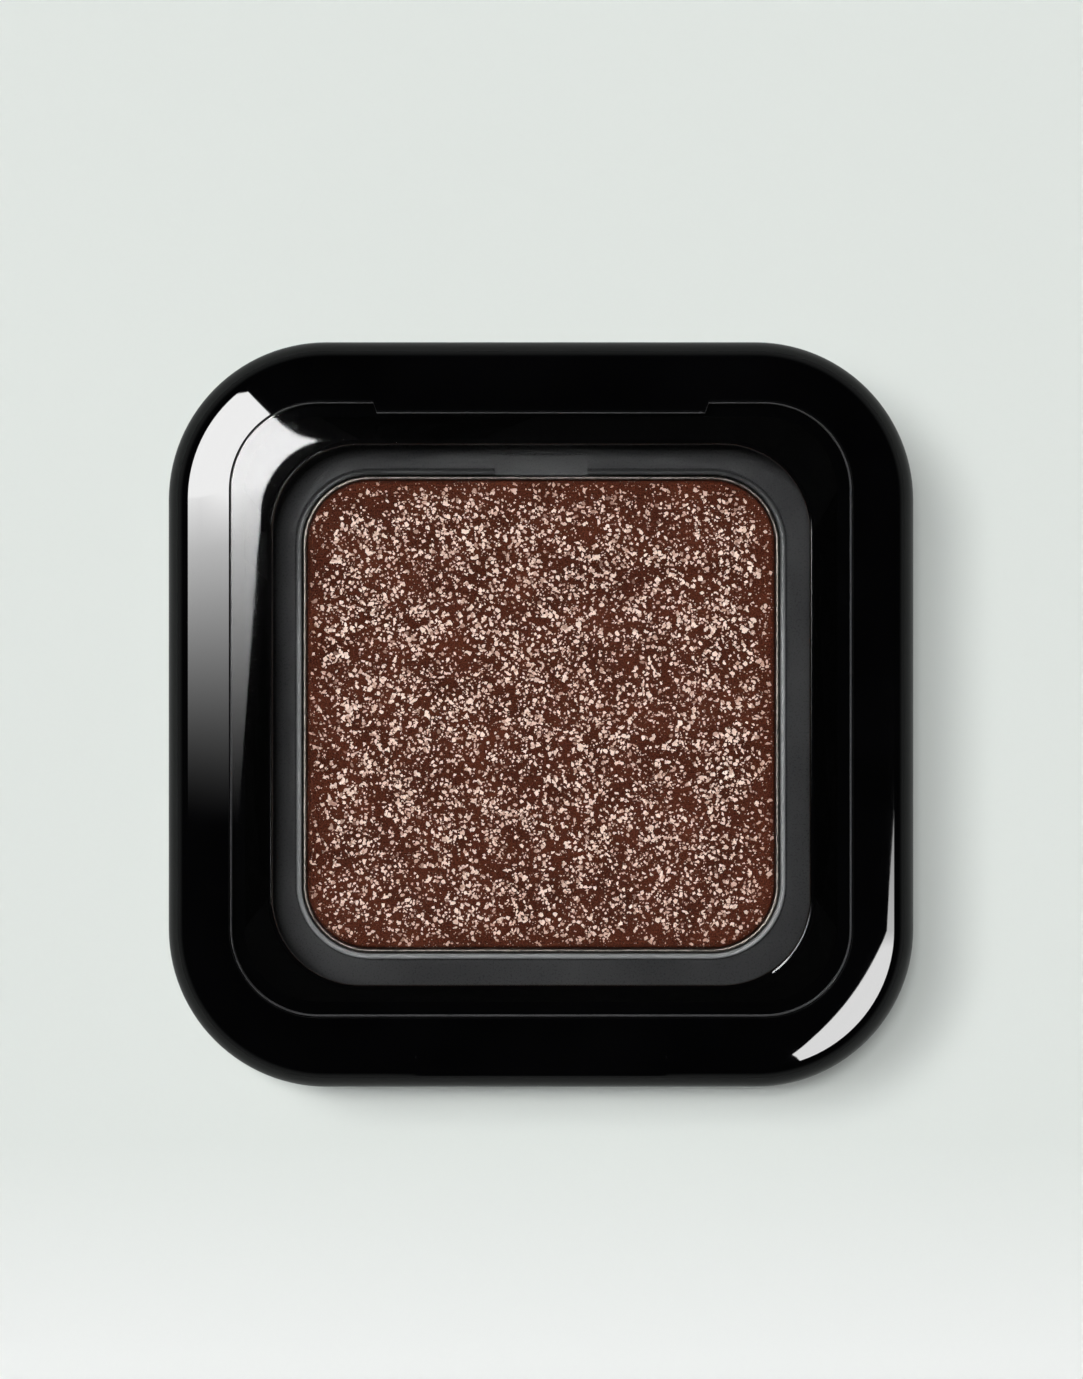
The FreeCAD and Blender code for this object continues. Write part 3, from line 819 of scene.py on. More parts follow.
@dataclass(frozen=True)
class PlateEdge:
    """Moulded edge of the clear plate, which gathers light and shows as a thin pale line."""

    colour: Triple = (0.05, 0.05, 0.052)
    pale_gain: float = 1.6
    grain_scale: float = 5000.0
    roughness: Pair = (0.3, 0.45)

    def material(self) -> Material:
        """Builds the material.

        Returns:
            The material.
        """
        shader = Shader("window_edge")
        grain = shader.noise(self.grain_scale)
        tone = shader.tones(grain, self.colour, scaled(self.colour, self.pale_gain))
        return shader.surface({"Base Color": tone, "Roughness": shader.span(grain, *self.roughness)})


@dataclass(frozen=True)
class PanMetal:
    """Thin drawn metal with fine drawing lines."""

    dull: Triple = (0.17, 0.145, 0.125)
    bright: Triple = (0.32, 0.285, 0.255)
    line_scale: float = 4200.0
    line_stretch: Triple = (1.0, 1.0, 0.05)
    roughness: Pair = (0.28, 0.46)

    def material(self) -> Material:
        """Builds the material.

        Returns:
            The material.
        """
        shader = Shader("drawn_pan_metal")
        lines = shader.noise(self.line_scale, detail=3.0, where=shader.stretched(self.line_stretch))
        tone = shader.tones(lines, self.dull, self.bright)
        rough = shader.span(lines, *self.roughness)
        return shader.surface({"Base Color": tone, "Metallic": 1.0, "Roughness": rough})


@dataclass(frozen=True)
class PressedPowder:
    """Red-brown pressed powder, with specks of shimmer too small to be flakes."""

    deep: Triple = (0.020, 0.0040, 0.0016)
    brown: Triple = (0.125, 0.030, 0.0145)
    tone_range: Pair = (0.38, 0.6)
    cloud_scale: float = 420.0
    cloud_share: float = 0.2
    grain_scale: float = 11000.0
    grain_depth: float = 0.00005
    grain_show: float = 0.9
    speck: Triple = (0.62, 0.46, 0.38)
    speck_scale: float = 9500.0
    speck_choice: Pair = (0.74, 0.78)
    speck_size: Pair = (0.22, 0.36)
    roughness: Pair = (0.88, 0.4)
    gloss: float = 0.12

    def material(self) -> Material:
        """Builds the material.

        Returns:
            The material.
        """
        shader = Shader("pressed_powder")
        grain = shader.noise(self.grain_scale, detail=4.0, roughness=0.65)
        cloud = shader.noise(self.cloud_scale, detail=3.0, roughness=0.6)
        mottle = shader.mix(self.cloud_share, grain, cloud)
        body = shader.ramp(mottle, (self.tone_range[0], self.deep), (self.tone_range[1], self.brown))
        cells = shader.node("TexVoronoi", {"Vector": shader.spot(), "Scale": self.speck_scale}).outputs
        chosen = shader.span(cells["Color"], 0.0, 1.0, *self.speck_choice)
        near = shader.span(cells["Distance"], 1.0, 0.0, *self.speck_size)
        share = shader.combine("MULTIPLY", chosen, near)
        rough = shader.span(share, *self.roughness, 0.0, 1.0)
        links = {"Base Color": shader.mix(share, body, self.speck), "Roughness": rough}
        relief = shader.bump(grain, self.grain_depth, self.grain_show)
        return shader.surface({**links, "Specular IOR Level": self.gloss, "Normal": relief})


@dataclass(frozen=True)
class ShimmerFlake:
    """Champagne flakes, each with a tone of its own that is dimmed towards the pan's wall as painted shade.
    """

    dark: Triple = (0.24, 0.125, 0.09)
    middle: Triple = (0.62, 0.385, 0.295)
    middle_place: float = 0.45
    pale: Triple = (1.0, 0.79, 0.68)
    roughness: Pair = (0.5, 0.28)

    def material(self) -> Material:
        """Builds the material.

        Returns:
            The material.
        """
        shader = Shader("shimmer_flake")
        tone = shader.node("Attribute", attribute_name=TONE).outputs["Fac"]
        colour = shader.ramp(tone, (0.0, self.dark), (self.middle_place, self.middle), (1.0, self.pale))
        rough = shader.span(tone, *self.roughness, 0.0, 1.0)
        return shader.surface({"Base Color": colour, "Roughness": rough})


@dataclass(frozen=True)
class FineGrain:
    """Plain matt or metal finish with a fine grain, for the small pieces."""

    name: str
    dark: Triple
    pale: Triple
    roughness: Pair
    metallic: float = 0.0
    scale: float = 5000.0
    gloss: float = 0.5
    depth: float = 0.00001
    show: float = 0.4

    def material(self) -> Material:
        """Builds the material.

        Returns:
            The material.
        """
        shader = Shader(self.name)
        grain = shader.noise(self.scale, detail=4.0, roughness=0.6)
        links = {"Base Color": shader.tones(grain, self.dark, self.pale), "Metallic": self.metallic,
                 "Roughness": shader.span(grain, *self.roughness), "Specular IOR Level": self.gloss}
        return shader.surface({**links, "Normal": shader.bump(grain, self.depth, self.show)})


PIN_STEEL = FineGrain("drawn_pin_steel", (0.34, 0.34, 0.35), (0.6, 0.6, 0.61), (0.22, 0.4), metallic=1.0)
GLUE_FILM = FineGrain("black_glue_film", (0.001, 0.001, 0.001), (0.002, 0.002, 0.002), (0.7, 0.9),
                      gloss=0.0)
LABEL_PAPER = FineGrain("blank_label_paper", (0.62, 0.61, 0.59), (0.74, 0.73, 0.71), (0.6, 0.8),
                        scale=2600.0)


@dataclass(frozen=True)
class CaseForm:
    """Outside form that lid, window and base share, in millimetres."""

    corner_radius: float = 8.9
    parting_gap: float = 0.1
    edge_radius: float = 1.9
    crease_inset: float = 1.2
    crease_drop: float = 0.45
    crown_inset: float = 6.2
    scoop_half: float = 7.0
    scoop_inset: float = 1.9
    scoop_foot: float = 0.8
    scoop_radius: float = 5.0
    hinge_setback: float = 1.6
    hinge_drop: float = 2.1

    @property
    def top(self) -> float:
        """Height of the flat middle of the lid."""
        return CAD_BOX[1].z / MM

    @property
    def base_top(self) -> float:
        """Height of the base's rim."""
        return node_box("base_shell")[1].z

    @property
    def lid_bottom(self) -> float:
        """Height of the lid's lower edge."""
        return self.base_top + self.parting_gap

    @property
    def outline(self) -> Outline:
        """The case seen from above."""
        half = (CAD_BOX[1] - CAD_BOX[0]) / (2.0 * MM)
        return Outline(half.x, half.y, self.corner_radius)

    @property
    def hinge(self) -> Pair:
        """Hinge axis, along and up."""
        return self.outline.rear - self.hinge_setback, self.base_top - self.hinge_drop

    @property
    def crown_radius(self) -> float:
        """Radius of the border's crown."""
        run = self.crown_inset - self.crease_inset
        return (run ** 2 + self.crease_drop ** 2) / (2.0 * self.crease_drop)

    @property
    def edge_centre(self) -> float:
        """Height where the side turns into the rounded edge."""
        step = self.edge_radius - self.crease_inset
        return self.top - self.crease_drop - math.sqrt(self.edge_radius ** 2 - step ** 2)

    def smooth_height(self, inset: float) -> float:
        """Height of the lid's skin without the thumb dip.

        Args:
            inset: Distance inside the case's outline.

        Returns:
            Height.
        """
        if inset >= self.crown_inset:
            return self.top
        if inset >= self.crease_inset:
            run = self.crown_inset - inset
            return self.top - self.crown_radius + math.sqrt(self.crown_radius ** 2 - run ** 2)
        step = self.edge_radius - max(inset, 0.0)
        return self.edge_centre + math.sqrt(max(self.edge_radius ** 2 - step ** 2, 0.0))

    def dip(self, inset: float) -> float:
        """Height of the hollow arc that the thumb dip is cut to.

        Args:
            inset: Distance inside the case's outline, between the foot and the top of the dip.

        Returns:
            Height.
        """
        foot = Vector((self.scoop_foot, self.smooth_height(self.scoop_foot)))
        top = Vector((self.scoop_inset, self.smooth_height(self.scoop_inset)))
        chord = top - foot
        rise = math.sqrt(self.scoop_radius ** 2 - (chord.length / 2.0) ** 2)
        centre = (foot + top) / 2.0 + Vector((-chord.y, chord.x)).normalized() * rise
        return centre.y - math.sqrt(self.scoop_radius ** 2 - (inset - centre.x) ** 2)

    def height(self, x: float, y: float) -> float:
        """Height of the lid's skin at a point.

        Args:
            x: Across.
            y: Along, to the hinge.

        Returns:
            Height.
        """
        inset = self.outline.inset(x, y)
        level = self.smooth_height(inset)
        if y < 0.0 and abs(x) <= self.scoop_half and self.scoop_foot < inset < self.scoop_inset:
            level = min(level, self.dip(inset))
        return level


@dataclass
class Lid:
    """Lid moulding with its clear window, in millimetres."""

    form: CaseForm
    wall: float = 1.3
    headroom: float = 3.2
    ledge: float = 0.9
    rim_edge: float = 0.2
    edge_rings: int = 18
    dip_rings: tuple[float, ...] = (1.45, 1.7)
    dip_columns: tuple[float, ...] = (2.5, 5.0, 8.5)
    dip_inner: float = 0.25
    dip_outer: float = 0.03
    blend_rings: int = 8
    crease_reach: float = 0.02
    seat_gap: float = 0.06
    seam_edge: float = 0.03
    plate_edge: float = 0.05
    plate_radius: float = 4.9
    edge_slope: float = 0.9
    flat_margin: float = 0.2
    key_half: float = 9.3
    key_depth: float = 0.56
    key_step: float = 0.1
    key_columns: tuple[float, ...] = (3.0, 6.0, 9.9)
    window_side: float = 1.5
    window_end: float = 1.6
    window_radius: float = 4.9
    window_edge: float = 0.12
    knuckle_half: float = 9.25
    knuckle_inset: float = 0.1
    knuckle_rise: float = 1.6
    knuckle_steps: int = 28
    bore_radius: float = 0.63
    latch_half: float = 4.0
    latch_front: float = -19.2
    latch_thickness: float = 0.8
    latch_tip: float = 5.25
    latch_root: float = 0.3
    columns: Columns = field(init=False)

    def __post_init__(self) -> None:
        """Chooses the columns that the thumb dip and the window's relief need."""
        dip, key = self.form.scoop_half, self.key_half
        front = Columns.mirrored(*self.dip_columns, dip - self.dip_inner, dip, dip + self.dip_outer)
        rear = Columns.mirrored(*self.key_columns, key - self.key_step, key + self.key_step)
        self.columns = Columns(front, rear, arc_steps=28, side_steps=8)

    @property
    def ceiling(self) -> float:
        """Height of the hollow's roof."""
        return self.form.lid_bottom + self.headroom

    @property
    def plate(self) -> Outline:
        """The window plate seen from above."""
        plain = node_outline("window_plate", self.plate_radius)
        return replace(plain, key_half=self.key_half, key_depth=self.key_depth)

    @property
    def opening(self) -> Outline:
        """The window opening seen from above."""
        pan = node_outline("powder_pan", self.window_radius)
        return replace(pan, half_width=pan.half_width + self.window_side,
                       half_length=pan.half_length + self.window_end)

    def _blend(self, stack: RingStack, first: Outline, last: Outline) -> None:
        """Adds rings on the lid's skin that lead from one outline to another.

        Args:
            stack: Stack that gets the rings.
            first: Outline that the stack has reached.
            last: Outline of the last new ring.
        """
        pairs = list(zip(self.columns.sample(first), self.columns.sample(last)))
        for step in range(1, self.blend_rings + 1):
            share = step / self.blend_rings
            places = [(a + (c - a) * share, b + (d - b) * share) for (a, b), (c, d) in pairs]
            stack.points(places, self.form.height)

    def _on_crease(self, spot: Vector) -> bool:
        """Tells the points on the crease between the rounded edge and the crown.

        Args:
            spot: A point.

        Returns:
            Whether it lies on the crease.
        """
        form = self.form
        off_level = abs(spot.z - form.top + form.crease_drop)
        off_inset = abs(form.outline.inset(spot.x, spot.y) - form.crease_inset)
        return max(off_level, off_inset) < self.crease_reach

    def build_frame(self, finish: Material) -> Piece:
        """Makes the lid moulding.

        Args:
            finish: Its material.

        Returns:
            The piece.
        """
        form, case = self.form, self.form.outline
        bottom, ceiling, seat = form.lid_bottom, self.ceiling, self.ceiling + self.ledge
        hollow = case.grown(-self.wall)
        stack = RingStack(self.columns)
        stack.ring(hollow, bottom)
        stack.fillet(case, bottom, self.rim_edge, BELOW, OUTSIDE, steps=4)
        tilt = math.acos((form.edge_radius - form.crease_inset) / form.edge_radius)
        for step in range(self.edge_rings + 1):
            inset = form.edge_radius * (1.0 - math.cos(tilt * step / self.edge_rings))
            stack.ring(case.grown(-inset), form.height if step else form.edge_centre)
        for inset in (*self.dip_rings, form.scoop_inset):
            stack.ring(case.grown(-inset), form.height)
        seam = self.plate.grown(self.seat_gap)
        self._blend(stack, case.grown(-form.scoop_inset), seam.grown(self.seam_edge))
        stack.ring(seam, lambda x, y: form.height(x, y) - self.seam_edge)
        stack.ring(seam, seat)
        stack.fillet(self.opening, seat, self.window_edge, ABOVE, INSIDE, steps=4)
        stack.fillet(self.opening, ceiling, self.window_edge, INSIDE, UNDER, steps=4)
        stack.ring(hollow, ceiling)
        stack.close()
        piece = stack.finish("lid_frame_moulding")
        self._add_hinge_and_latch(piece)
        shade(piece, crisp=self._on_crease)
        dress(piece, finish)
        return place(piece, Body.LID, Slot.GLOSS_BLACK, "lid_frame")

    def _add_hinge_and_latch(self, piece: Piece) -> None:
        """Joins the hinge knuckle, with its bore, and the latch tab to the moulding.

        Args:
            piece: The moulding.
        """
        y, z = self.form.hinge
        radius = self.form.hinge_setback - self.knuckle_inset
        top = self.form.lid_bottom + self.knuckle_rise
        round_part = arc_points(y, z, radius, 180.0, 360.0, self.knuckle_steps)
        section = [*round_part, (y + radius, top), (y - radius, top)]
        carve(piece, prism("knuckle", section, -self.knuckle_half, self.knuckle_half, Axis.X), Cut.JOIN)
        bore, reach = circle_points(y, z, self.bore_radius, BORE_SIDES), self.knuckle_half + OVERCUT
        carve(piece, prism("bore", bore, -reach, reach, Axis.X), Cut.REMOVE)
        rear = self.latch_front + self.latch_thickness
        tab = rectangle(-self.latch_half, self.latch_half, self.latch_front, rear)
        carve(piece, prism("latch", tab, self.latch_tip, self.ceiling + self.latch_root, Axis.Z), Cut.JOIN)

    def build_window(self, clear: Material, edge: Material) -> Piece:
        """Makes the clear plate.

        Args:
            clear: Material of its faces.
            edge: Material of its moulded edge.

        Returns:
            The piece.
        """
        plate, form = self.plate, self.form
        bottom = node_box("window_plate")[0].z
        inner = plate.grown(-self.plate_edge)
        stack = RingStack(self.columns)
        stack.ring(inner, bottom)
        stack.ring(plate, bottom + self.plate_edge)
        stack.ring(plate, lambda x, y: form.height(x, y) - self.plate_edge)
        stack.ring(inner, form.height)
        self._blend(stack, inner, form.outline.grown(-form.crown_inset - self.flat_margin))
        stack.cap()
        piece = stack.finish("window_plate_clear")
        shade(piece, limit=25.0)
        dress(piece, clear, edge, second=lambda face: abs(face.normal.z) < self.edge_slope)
        return place(piece, Body.LID, Slot.CLEAR, "window_plate")


@dataclass
class Base:
    """Lower half of the case with its hinge pins, in millimetres."""

    form: CaseForm
    wall: float = 1.6
    floor: float = 1.4
    bottom_edge: float = 1.2
    rim_edge: float = 0.25
    well_edge: float = 0.06
    soft_edge: float = 0.07
    ledge_width: float = 1.0
    ledge_level: float = 5.1
    label_clearance: float = 0.15
    label_radius: float = 3.0
    label_recess: float = 0.2
    label_edge: float = 0.05
    recess_half: float = 9.4
    recess_gap: float = 0.2
    recess_reach: float = 6.0
    relief_steps: int = 16
    hinge_web: float = 0.9
    knuckle_radius: float = 1.5
    thumb_half: float = 6.0
    thumb_height: float = 2.3
    thumb_depth: float = 0.9
    thumb_sides: int = 120
    pin_edge: float = 0.1
    pin_sides: int = 40

    @property
    def recess_front(self) -> float:
        """Front wall of the hinge recess."""
        return self.form.hinge[0] - self.knuckle_radius - self.recess_gap

    @property
    def well(self) -> Outline:
        """The tray's well seen from above."""
        inside = self.form.outline.grown(-self.wall)
        rear = self.recess_front - self.hinge_web
        return replace(inside, half_length=(rear - inside.front) / 2.0, centre=(inside.front + rear) / 2.0)

    def build_shell(self, finish: Material) -> Piece:
        """Makes the base moulding.

        Args:
            finish: Its material.

        Returns:
            The piece.
        """
        case, top = self.form.outline, self.form.base_top
        label = node_outline("bottom_label", self.label_radius).grown(self.label_clearance)
        hollow = self.well.grown(-self.ledge_width)
        stack = RingStack(Columns(arc_steps=28))
        stack.ring(label, self.label_recess)
        stack.ring(label, self.label_edge)
        stack.ring(label.grown(self.label_edge), 0.0)
        stack.fillet(case, 0.0, self.bottom_edge, BELOW, OUTSIDE, steps=10)
        stack.fillet(case, top, self.rim_edge, OUTSIDE, ABOVE, steps=6)
        stack.ring(self.well.grown(self.well_edge), top)
        stack.ring(self.well, top - self.well_edge)
        stack.ring(self.well, self.ledge_level)
        stack.ring(hollow, self.ledge_level)
        stack.ring(hollow, self.floor)
        stack.cap()
        piece = stack.finish("base_shell_moulding")
        self._carve_hinge(piece)
        self._carve_thumb_notch(piece)
        soften(piece, self.soft_edge)
        shade(piece)
        dress(piece, finish)
        return place(piece, Body.BASE, Slot.GLOSS_BLACK, "base_shell")

    def _carve_hinge(self, piece: Piece) -> None:
        """Cuts the knuckle's recess, the round relief behind the hinge and the pin bores.

        Args:
            piece: The moulding.
        """
        (y, z), swing, far = self.form.hinge, self.form.hinge_drop, self.recess_reach
        front, floor = self.recess_front, z - swing - self.recess_gap
        recess = rectangle(front, front + far, floor, floor + 2.0 * far)
        carve(piece, prism("recess", recess, -self.recess_half, self.recess_half, Axis.X), Cut.REMOVE)
        round_part = arc_points(y, z, swing, 0.0, 90.0, self.relief_steps)
        relief = [*round_part, (y, z + far), (y + far, z + far), (y + far, z)]
        low, high = node_box("hinge_pin_right")
        bores = circle_points(y, z, (high.z - low.z) / 2.0, BORE_SIDES)
        reach = self.form.outline.half_width + OVERCUT
        for name, section in (("relief", relief), ("bores", bores)):
            carve(piece, prism(name, section, -reach, reach, Axis.X), Cut.REMOVE)

    def _carve_thumb_notch(self, piece: Piece) -> None:
        """Cuts the shallow notch under the lid's front edge.

        Args:
            piece: The moulding.
        """
        radius = (self.thumb_half ** 2 + self.thumb_height ** 2) / (2.0 * self.thumb_height)
        front, level = self.form.outline.front, self.form.base_top - self.thumb_height + radius
        disc = circle_points(0.0, level, radius, self.thumb_sides)
        carve(piece, prism("thumb", disc, front - OVERCUT, front + self.thumb_depth, Axis.Y), Cut.REMOVE)

    def build_pin(self, node: str, finish: Material) -> Piece:
        """Makes one hinge pin with broken ends.

        Args:
            node: Packed pin that it replaces.
            finish: Its material.

        Returns:
            The piece.
        """
        low, high = node_box(node)
        y, z, radius = (low.y + high.y) / 2.0, (low.z + high.z) / 2.0, (high.z - low.z) / 2.0
        edge, thin = self.pin_edge, radius - self.pin_edge
        stations = ((low.x, thin), (low.x + edge, radius), (high.x - edge, radius), (high.x, thin))
        mesh = bmesh.new()
        rings = []
        for x, reach in stations:
            circle = circle_points(y, z, reach, self.pin_sides)
            rings.append([mesh.verts.new((x, *spot)) for spot in circle])
        for first, second in zip(rings, rings[1:]):
            bridge(mesh, first, second)
        mesh.faces.new(rings[0])
        mesh.faces.new(rings[-1])
        piece = mesh_object(f"{node}_steel", mesh)
        shade(piece, limit=35.0)
        dress(piece, finish)
        return place(piece, Body.BASE, Slot.STEEL, node)


@dataclass
class Insert:
    """Tray, pan and powder, in millimetres."""

    well: Outline
    ledge_level: float
    deck_top: float = 6.35
    tray_clearance: float = 0.1
    deck_edge: float = 0.12
    pan_radius: float = 3.9
    pan_clearance: float = 0.05
    lip_wall: float = 0.3
    lip_edge: float = 0.145
    cup_wall: float = 0.9
    cup_floor: float = 0.8
    release_half: float = 2.65
    release_reach: float = 0.9
    release_sink: float = 0.25
    slot_half: float = 4.3
    slot_rear: float = -18.1
    slot_depth: float = 0.5
    pan_wall: float = 0.25
    pan_floor: float = 0.3
    pan_edge: float = 0.2
    cake_inset: float = 0.27
    cake_edge: float = 0.35
    cake_columns: tuple[float, ...] = (2.0, 4.0, 6.0, 8.0)
    cake_rings: int = 70
    grain_depth: float = 0.035
    grain_mean: float = 0.5
    fine: Waves = Waves(rate=2.6, layer=1.7, weight=0.35)
    coarse: Waves = Waves(rate=0.7, layer=4.1, weight=0.3)

    @property
    def pan(self) -> Outline:
        """The pan seen from above."""
        return node_outline("powder_pan", self.pan_radius)

    @property
    def cake(self) -> Outline:
        """The powder seen from above."""
        return self.pan.grown(-self.cake_inset)

    def build_tray(self, finish: Material, lip_highlight: Material) -> Piece:
        """Makes the deck with its lip and the cup below it.

        Args:
            finish: Its material.
            lip_highlight: Material of the lip's rounded top.

        Returns:
            The piece.
        """
        low, high = node_box("inner_tray")
        pocket = self.pan.grown(self.pan_clearance)
        lip, cup = pocket.grown(self.lip_wall), pocket.grown(self.cup_wall)
        deck, edge = self.well.grown(-self.tray_clearance), self.lip_edge
        stack = RingStack(Columns(arc_steps=24))
        stack.ring(pocket, low.z + self.cup_floor)
        stack.ring(pocket, high.z - edge)
        stack.fillet(pocket, high.z, edge, INSIDE, ABOVE, steps=4)
        stack.fillet(lip, high.z, edge, ABOVE, OUTSIDE, steps=4)
        stack.fillet(lip, self.deck_top, edge, INSIDE, UNDER, steps=3)
        stack.fillet(deck, self.deck_top, self.deck_edge, ABOVE, OUTSIDE, steps=3)
        stack.ring(deck, self.ledge_level)
        stack.ring(cup, self.ledge_level)
        stack.ring(cup, low.z)
        stack.cap()
        piece = stack.finish("inner_tray_deck")
        top = high.z + OVERCUT
        half, rear = self.release_half, lip.rear
        notch = rectangle(-half, half, rear - OVERCUT, rear + self.release_reach)
        carve(piece, prism("release", notch, self.deck_top - self.release_sink, top, Axis.Z), Cut.REMOVE)
        slot = rectangle(-self.slot_half, self.slot_half, deck.front - OVERCUT, self.slot_rear)
        carve(piece, prism("slot", slot, self.ledge_level - self.slot_depth, top, Axis.Z), Cut.REMOVE)
        shade(piece)
        # The lip's rounded top takes the material with the painted highlight and shade.
        dress(piece, finish, lip_highlight, second=lambda face: face.center.z / MM > self.deck_top + edge)
        return place(piece, Body.BASE, Slot.SATIN_GREY, "inner_tray")

    def build_pan(self, finish: Material) -> Piece:
        """Makes the drawn pan with a rounded rim.

        Args:
            finish: Its material.

        Returns:
            The piece.
        """
        low, high = node_box("powder_pan")
        stack = RingStack(Columns(arc_steps=24))
        stack.ring(self.pan.grown(-self.pan_wall), low.z + self.pan_floor)
        stack.fillet(self.pan, high.z, self.pan_wall / 2.0, INSIDE, OUTSIDE, steps=8)
        stack.fillet(self.pan, low.z, self.pan_edge, OUTSIDE, BELOW, steps=4)
        stack.cap()
        piece = stack.finish("powder_pan_drawn")
        shade(piece, limit=35.0)
        dress(piece, finish)
        return place(piece, Body.BASE, Slot.PAN_METAL, "powder_pan")

    def grain(self, x: float, y: float) -> float:
        """Depth of the pressed top's unevenness below the press at a point."""
        return self.grain_depth * (self.grain_mean + self.fine.at(x, y) + self.coarse.at(x, y))

    def build_cake(self, finish: Material) -> Piece:
        """Makes the pressed powder with an uneven top and a rounded edge.

        Args:
            finish: Its material.

        Returns:
            The piece.
        """
        low, high = node_box("eyeshadow_cake")
        places = Columns.mirrored(*self.cake_columns)
        stack = RingStack(Columns(places, places, arc_steps=16, side_steps=12))
        stack.ring(self.cake, low.z)
        stack.fillet(self.cake, high.z, self.cake_edge, OUTSIDE, ABOVE, steps=6)
        rim = stack.columns.sample(self.cake.grown(-self.cake_edge))
        for step in range(1, self.cake_rings):
            share = 1.0 - step / self.cake_rings
            stack.points([(x * share, y * share) for x, y in rim], lambda x, y: high.z - self.grain(x, y))
        stack.cap()
        piece = stack.finish("eyeshadow_cake_pressed")
        shade(piece, limit=60.0)
        dress(piece, finish)
        return place(piece, Body.BASE, Slot.SHIMMER, "eyeshadow_cake")


@dataclass
class Shimmer:
    """Loose scatter of thin flakes pressed into the powder, in millimetres and degrees. Towards the pan's
    wall the flakes are thinner and dimmer, as painted shade of the wall.
    """

    outline: Outline
    level: float
    grain: Callable[[float, float], float]
    count: int = 12500
    margin: float = 0.18
    wide: Waves = Waves(rate=0.62, layer=9.3, weight=0.6)
    close: Waves = Waves(rate=1.9, layer=2.2, weight=0.8)
    chance_mean: float = 0.55
    chance_swing: float = 0.5
    chance_least: float = 0.12
    edge_chance: float = 0.3
    wall_shade_keep: float = 0.45
    wall_shade_gain: float = 0.4
    sides: tuple[int, int] = (4, 6)
    smallest: float = 0.05
    largest: float = 0.17
    size_power: float = 1.8
    stretch: Pair = (0.5, 1.0)
    tilt: float = 16.0
    lift: Pair = (0.0, 0.02)
    tone_mean: float = 0.8
    tone_spread: float = 0.36
    corner_shift: Pair = (-0.3, 0.3)
    corner_reach: Pair = (0.6, 1.25)
    thickness: float = 0.018

    def build(self, finish: Material) -> Piece:
        """Makes all the flakes as one piece.

        Args:
            finish: Their material.

        Returns:
            The piece.
        """
        draw = random.Random(SEED)
        mesh = bmesh.new()
        tones = mesh.faces.layers.float.new(TONE)
        made = 0
        while made < self.count:
            x = draw.uniform(-1.0, 1.0) * self.outline.half_width
            y = self.outline.centre + draw.uniform(-1.0, 1.0) * self.outline.half_length
            inset = self.outline.inset(x, y)
            if inset < self.margin or draw.random() > self._chance(x, y, inset):
                continue
            # Flakes near the pan's wall keep less of their tone: painted shade of the wall.
            self._flake(mesh, tones, draw, x, y, min(1.0, self.wall_shade_keep + self.wall_shade_gain * inset))
            made += 1
        piece = mesh_object("eyeshadow_shimmer_flakes", mesh)
        dress(piece, finish)
        return place(piece, Body.BASE, Slot.SHIMMER)

    def _chance(self, x: float, y: float, inset: float) -> float:
        """Chance that a flake lies at a point, in clusters and thinner towards the pan's wall, which also
        paints the wall's shade.

        Args:
            x: Across.
            y: Along.
            inset: Distance inside the powder's outline.

        Returns:
            Chance between 0 and 1.
        """
        cluster = self.wide.at(x, y) + self.close.at(x, y)
        edge = min(1.0, self.edge_chance + self.wall_shade_gain * inset)
        return max(self.chance_least, min(1.0, self.chance_mean + self.chance_swing * cluster)) * edge

    def _flake(self, mesh: bmesh.types.BMesh, tones: bmesh.types.BMLayerItem, draw: random.Random,
               x: float, y: float, glow: float) -> None:
        """Adds one flake, a thin irregular plate that is tilted a little.

        Args:
            mesh: Mesh of all the flakes.
            tones: Face layer that holds the tones.
            draw: Source of the chances.
            x: Across.
            y: Along.
            glow: Share of its tone that it keeps.
        """
        sides = draw.randint(*self.sides)
        size = self.smallest + (self.largest - self.smallest) * draw.random() ** self.size_power
        stretch = draw.uniform(*self.stretch)
        turn = Matrix.Rotation(draw.uniform(0.0, math.tau), 3, "Z")
        lean = Matrix.Rotation(math.radians(draw.gauss(0.0, self.tilt)), 3, "X")
        middle = Vector((x, y, self.level - self.grain(x, y) + draw.uniform(*self.lift)))
        tone = glow * min(1.0, max(0.0, draw.gauss(self.tone_mean, self.tone_spread)))
        rim = []
        for side in range(sides):
            angle = math.tau * (side + draw.uniform(*self.corner_shift)) / sides
            reach = size * draw.uniform(*self.corner_reach)
            rim.append(Vector((reach * math.cos(angle), reach * stretch * math.sin(angle), 0.0)))
        spin, rise = turn @ lean, Vector((0.0, 0.0, self.thickness))
        upper = [mesh.verts.new(middle + spin @ (spot + rise)) for spot in rim]
        lower = [mesh.verts.new(middle + spin @ spot) for spot in rim]
        ends = [mesh.faces.new(upper), mesh.faces.new(reversed(lower))]
        for face in (*ends, *bridge(mesh, lower, upper)):
            face[tones] = tone


